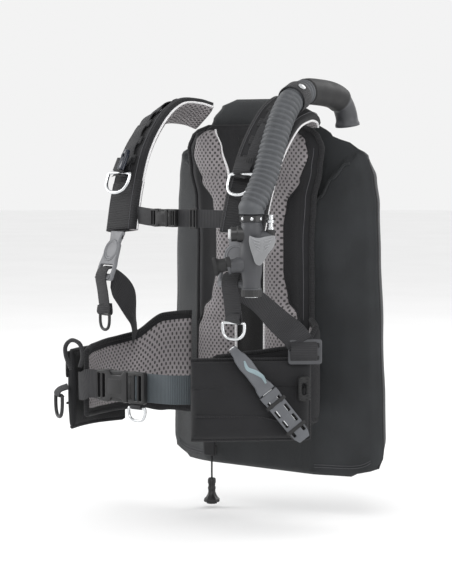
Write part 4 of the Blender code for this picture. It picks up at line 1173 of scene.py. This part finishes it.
def make_sternum():
    """The chest webbing, its buckle and slider, and the whistle."""
    right = webbing("right sternum webbing", mm((-78, -197, 57), (-72, -198, 57), (-56, -204, 56),
            (-38.5, -207.8, 55)), (-0.15, -0.98, 0), 0.024, TAPE)
    left = webbing("left sternum webbing", mm((1, -203.4, 55), (10, -203, 55), (40, -201.5, 55),
            (72, -197.5, 55), (78, -196, 55)), (0.05, -0.99, 0), 0.024, TAPE)
    for side, tape in (("right", right), ("left", left)):
        put(tape, "webbing", side + "_sternum_webbing")
    side_release("sternum buckle", (-0.025, -0.208, STERNUM_Z), (0.03, 0.025, 0.0098), 0.0128,
            ("harness", "sternum_plug"), ("sternum_buckle_socket", "sternum_buckle_plug"), BLACK)
    slider = plate("sternum slider", axes((0.03, -0.2035, 0.055), (0.03, -1, 0), UP),
            oblong(0.012, 0.029, 0.002), 0.003, BLACK,
            holes=[oblong(0.0028, 0.0225, 0.001, centre=(k * 0.0028, 0)) for k in (-1, 1)], bevel=0.0006)
    facing = axes(V((-0.102, -0.179, 0.126)) + V((-0.26, -0.88, 0.38)).normalized() * 0.0175,
            (-0.26, -0.88, 0.38), UP)
    whistle = plate("whistle", facing, mirrored(mm((5.8, -13.2), (6, 6), (4, 16))), 0.007, GLOSSY,
            bevel=0.0022, holes=[oblong(0.006, 0.003, 0.001, centre=(0, 0.007))])
    put(whistle, "whistle_plastic", "whistle")


# -------------------------------------------------- knife and pocket details

SHEATH_TOP, KNIFE_AXIS = V((0.127, -0.164, -0.178)), V((0.426, 0.453, -0.783)).normalized()


def make_knife():
    """The sheath, open inside, and the knife in it."""
    front = (POCKET_SIDE - KNIFE_AXIS * POCKET_SIDE.dot(KNIFE_AXIS)).normalized()
    place = axes(SHEATH_TOP, front, KNIFE_AXIS)
    slots = [oblong(0.0042, 0.011, 0.0012, centre=(x * 0.008, 0.015 + 0.0168 * k)) for x in (-1, 1)
            for k in range(4)]
    outline = mirrored(mm((12.8, 0.6), (13, 8), (12.6, 56), (11.2, 74), (8, 81)))
    for depth, holes, thick in ((0.004, slots, 0.004), (-0.0042, (), 0.0036)):
        shell = plate("knife sheath", place @ Matrix.Translation((0, 0, depth)), outline, thick,
                KNIFE_GREY if holes else BLACK, holes=holes, bevel=0.0009)
        if holes:
            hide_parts("knife_sheath")
    for depth, thick in ((0.005, 0.0042), (-0.0048, 0.003)):
        lip = plate("knife sheath mouth", place @ Matrix.Translation((0, 0.0058, depth)),
                oblong(0.027, 0.011, 0.002), thick, KNIFE_GREY, bevel=0.001)
    for edge in (-1, 1):
        rail = plate("knife sheath side", place @ Matrix.Translation((edge * 0.011, 0.037, -0.0002)),
                oblong(0.0036, 0.07, 0.001), 0.01, BLACK, bevel=0.0006)
    blade = plate("knife blade", place @ Matrix.Translation((0, 0, -0.0002)),
            mm((-7.5, -4), (7.5, -4), (7.8, 52), (5, 64), (0.4, 71), (-4, 66), (-7.2, 56)), 0.0026, STEEL,
            "knife_body", bevel=0.0009)
    grip = mirrored(mm((12.5, -1), (12, -8), (9.8, -15), (9.2, -33), (10, -48), (8.8, -60), (6.8, -65),
            (5.2, -77)))
    handle = plate("knife handle", place, grip, 0.0118, KNIFE_GREY, "knife_body", bevel=0.0026)
    put(handle, "grey_plastic", "knife")
    butt = plate("knife butt", place @ Matrix.Translation((0, -0.0715, 0)),
            oblong(0.0116, 0.0135, 0.0045), 0.0048, STEEL, "knife_body",
            holes=[[(0.0026 * math.cos(t), -0.0015 + 0.0026 * math.sin(t))
            for t in (2 * math.pi * k / 16 for k in range(16))]], bevel=0.0008)
    wave = spline(mm((-6, -12, 5.8), (-7.8, -22, 6), (-4, -33, 6), (1, -43, 6), (-2, -54, 5.8)), 8)
    inlay = sweep("knife grip inlay", [place @ p for p in wave], front,
            lambda t: lens(0.006 * (0.25 + 0.75 * math.sin(math.pi * (0.06 + 0.88 * t))), 0.0016, 0, 0.8,
            14), GRIP, "knife_body")
    for k in range(2):
        strap = sweep("knife keeper", [place @ V((x, 0.0175 + 0.044 * k, 0.0066))
                for x in (-0.0155, -0.013, 0, 0.013, 0.0155)], front, rounded(0.005, 0.0012, steps=2),
                SOFT_BLACK)


def make_pocket_fittings():
    """The ribbed pouch handle and the ladder lock with its webbing."""
    place = axes(V((0.1607, -0.1275, -0.174)), POCKET_SIDE, UP)
    grip = plate("pouch handle", place, oblong(0.0165, 0.0345, 0.0055), 0.0085, SOFT_BLACK, bevel=0.0026,
            holes=[oblong(0.005, 0.015, 0.002)])
    put(grip, "black_plastic", "pouch_handle")
    for k in range(7):
        height = -0.014 + 0.00467 * k
        for edge in (-1, 1):
            rib = tube("pouch handle rib", [place @ V((edge * x, height, z)) for x,
                    z in mm((3.2, 4.2), (6.2, 4.7), (8.4, 2))], 0.0008, SOFT_BLACK, sides=8)
    lock = plate("ladder lock", axes((0.16, -0.124, -0.124), POCKET_SIDE, UP),
            oblong(0.046, 0.034, 0.004), 0.005, DARK, bevel=0.0012,
            holes=[oblong(0.037, 0.006, 0.0015, centre=(0, y)) for y in (-0.0085, 0.0085)])
    put(lock, "black_plastic", "ladder_lock")
    fold = webbing("ladder lock webbing", mm((156, -124, -108), (164, -131, -116.5), (164, -131, -126),
            (159, -126, -137)), [POCKET_SIDE + UP * 0.6, POCKET_SIDE, POCKET_SIDE,
            POCKET_SIDE - UP * 0.4], 0.036, TAPE)


# ------------------------------------------------------------- the back side

BAND_CENTRE, BAND_RADIUS = V((0, 0.086, 0.03)), 0.089


def make_tank_side():
    """The tank band, cam buckle, tank pad, carry handle and valves."""
    ring = []
    for k in range(97):
        turn = math.radians(-90 + 44.2 + (360 - 88.4) * k / 96)
        ring.append(BAND_CENTRE + V((math.cos(turn), math.sin(turn), 0)) * BAND_RADIUS)
    straight = [ring[-1].lerp(ring[0], k / 14) for k in range(1, 14)]
    straight = [V((p.x, max(p.y, -0.0098) if abs(p.x) > 0.058 else -0.0098, p.z)) for p in straight]
    loop = ring + straight
    outs = [V((p.x, (p.y - BAND_CENTRE.y), 0)).normalized() if i < 97 else V((0, -1, 0)) for i,
            p in enumerate(loop)]
    band = sweep("tank band", loop, outs, rounded(0.048, 0.0024, steps=2), TAPE, loop=True)
    put(band, "webbing", "tank_band")
    facing = SIDEWAYS
    flat = axes(BAND_CENTRE + facing * (BAND_RADIUS + 0.005), facing, UP)
    base = plate("cam buckle base", flat, oblong(0.044, 0.059, 0.005), 0.0058, BLACK, bevel=0.0014,
            holes=[oblong(0.005, 0.049, 0.0015, centre=(0.015, 0))])
    put(base, "black_plastic", "cam_buckle_base")
    lever = plate("cam lever", axes(BAND_CENTRE + facing * (BAND_RADIUS + 0.0115), facing, UP),
            oblong(0.05, 0.055, 0.008), 0.0052, DARK, "cam_lever", bevel=0.0016,
            holes=[oblong(0.0052, 0.045, 0.0015, centre=(x, 0)) for x in (-0.015, -0.002)])
    put(lever, "black_plastic", "cam_buckle_lever")
    for k in range(5):
        rib = tube("cam lever rib", [BAND_CENTRE + facing * (BAND_RADIUS + 0.014)
                + (flat.to_3x3() @ V((0.009 + 0.0032 * k, y, 0)))
                for y in (-0.022, -0.007, 0.007, 0.022)], 0.0008, DARK, "cam_lever", sides=8)
    pad = plate("tank pad", axes((0, -0.0038, -0.02), (0, 1, 0), UP), oblong(0.11, 0.3, 0.018), 0.0062,
            SOFT_BLACK, bevel=0.0018)
    put(pad, "black_plastic", "tank_pad")
    for k in range(13):
        x = -0.045 + 0.0075 * k
        rib = tube("tank pad rib", [(x, -0.0008, -0.158 + 0.0276 * j) for j in range(11)], 0.0008,
                SOFT_BLACK, sides=8)
    make_carry_handle()
    make_valves()


def make_carry_handle():
    """The handle above the tank pad, with a rubber grip."""
    half = mm((55, -3, 160), (55, 12, 178), (45, 18, 194))
    points = [V((-x, y, z)) for x, y, z in half] + [V((0, 0.02, 0.1995))] + [V(p) for p in reversed(half)]
    handle = tube("carry handle", spline(points, 10), lambda t: 0.0052 + 0.002
            * ease(0.16, 0.24, min(t, 1 - t)), TAPE, sides=20)
    put(handle, "webbing", "carry_handle")
    grip = tube("carry handle grip", spline(points, 10)[16:45],
            lambda t: 0.0076 + 0.0003 * math.cos(2 * math.pi * 9 * t), SOFT_BLACK, sides=20)


def make_valves():
    """The two round valves on the rear of the air cell."""
    for node, z in (("relief_valve", 0.08), ("dump_valve", -0.215)):
        place = axes((-0.144, 0.0475, z), (0, 1, 0), UP)
        valve = turned(node.replace("_", " "), place, mm((28, 0), (28.4, 2), (27.6, 4.8), (26.2, 6),
                (24, 6.6), (23.2, 10), (21.8, 11.6), (12, 12.2), (11, 11.2), (6, 11), (1, 11.4)), BLACK,
                sides=72, ribs=24, depth=0.0005)
        put(valve, "black_plastic", node)
        for k in range(8):
            turn = math.pi * k / 4
            vent = tube(node.replace("_", " ") + " vent",
                    [place @ V((r * math.cos(turn), r * math.sin(turn), 0.0116))
                    for r in (0.013, 0.0165, 0.02)], 0.0009, DARK, sides=8)


make_hose()
make_inflator()
make_belt()
make_sternum()
make_knife()
make_pocket_fittings()
make_tank_side()

# ----------------------------------------------------------------- the rest

SLOT_LOOKS = {"bladder_nylon": BLADDER, "black_fabric": FABRIC, "grey_mesh": MESH, "webbing": TAPE,
        "black_plastic": BLACK, "grey_plastic": GREY, "pale_plastic": PALE, "hose_rubber": RUBBER,
        "steel": STEEL, "whistle_plastic": GLOSSY}


def dress_cad_nodes():
    """Nodes that are still shown take the same finishes as the finer pieces."""
    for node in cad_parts.values():
        for place in node.material_slots:
            name = place.material.name if place.material else ""
            for key, look in SLOT_LOOKS.items():
                if name.split(".")[0].endswith(key):
                    place.material = look


dress_cad_nodes()
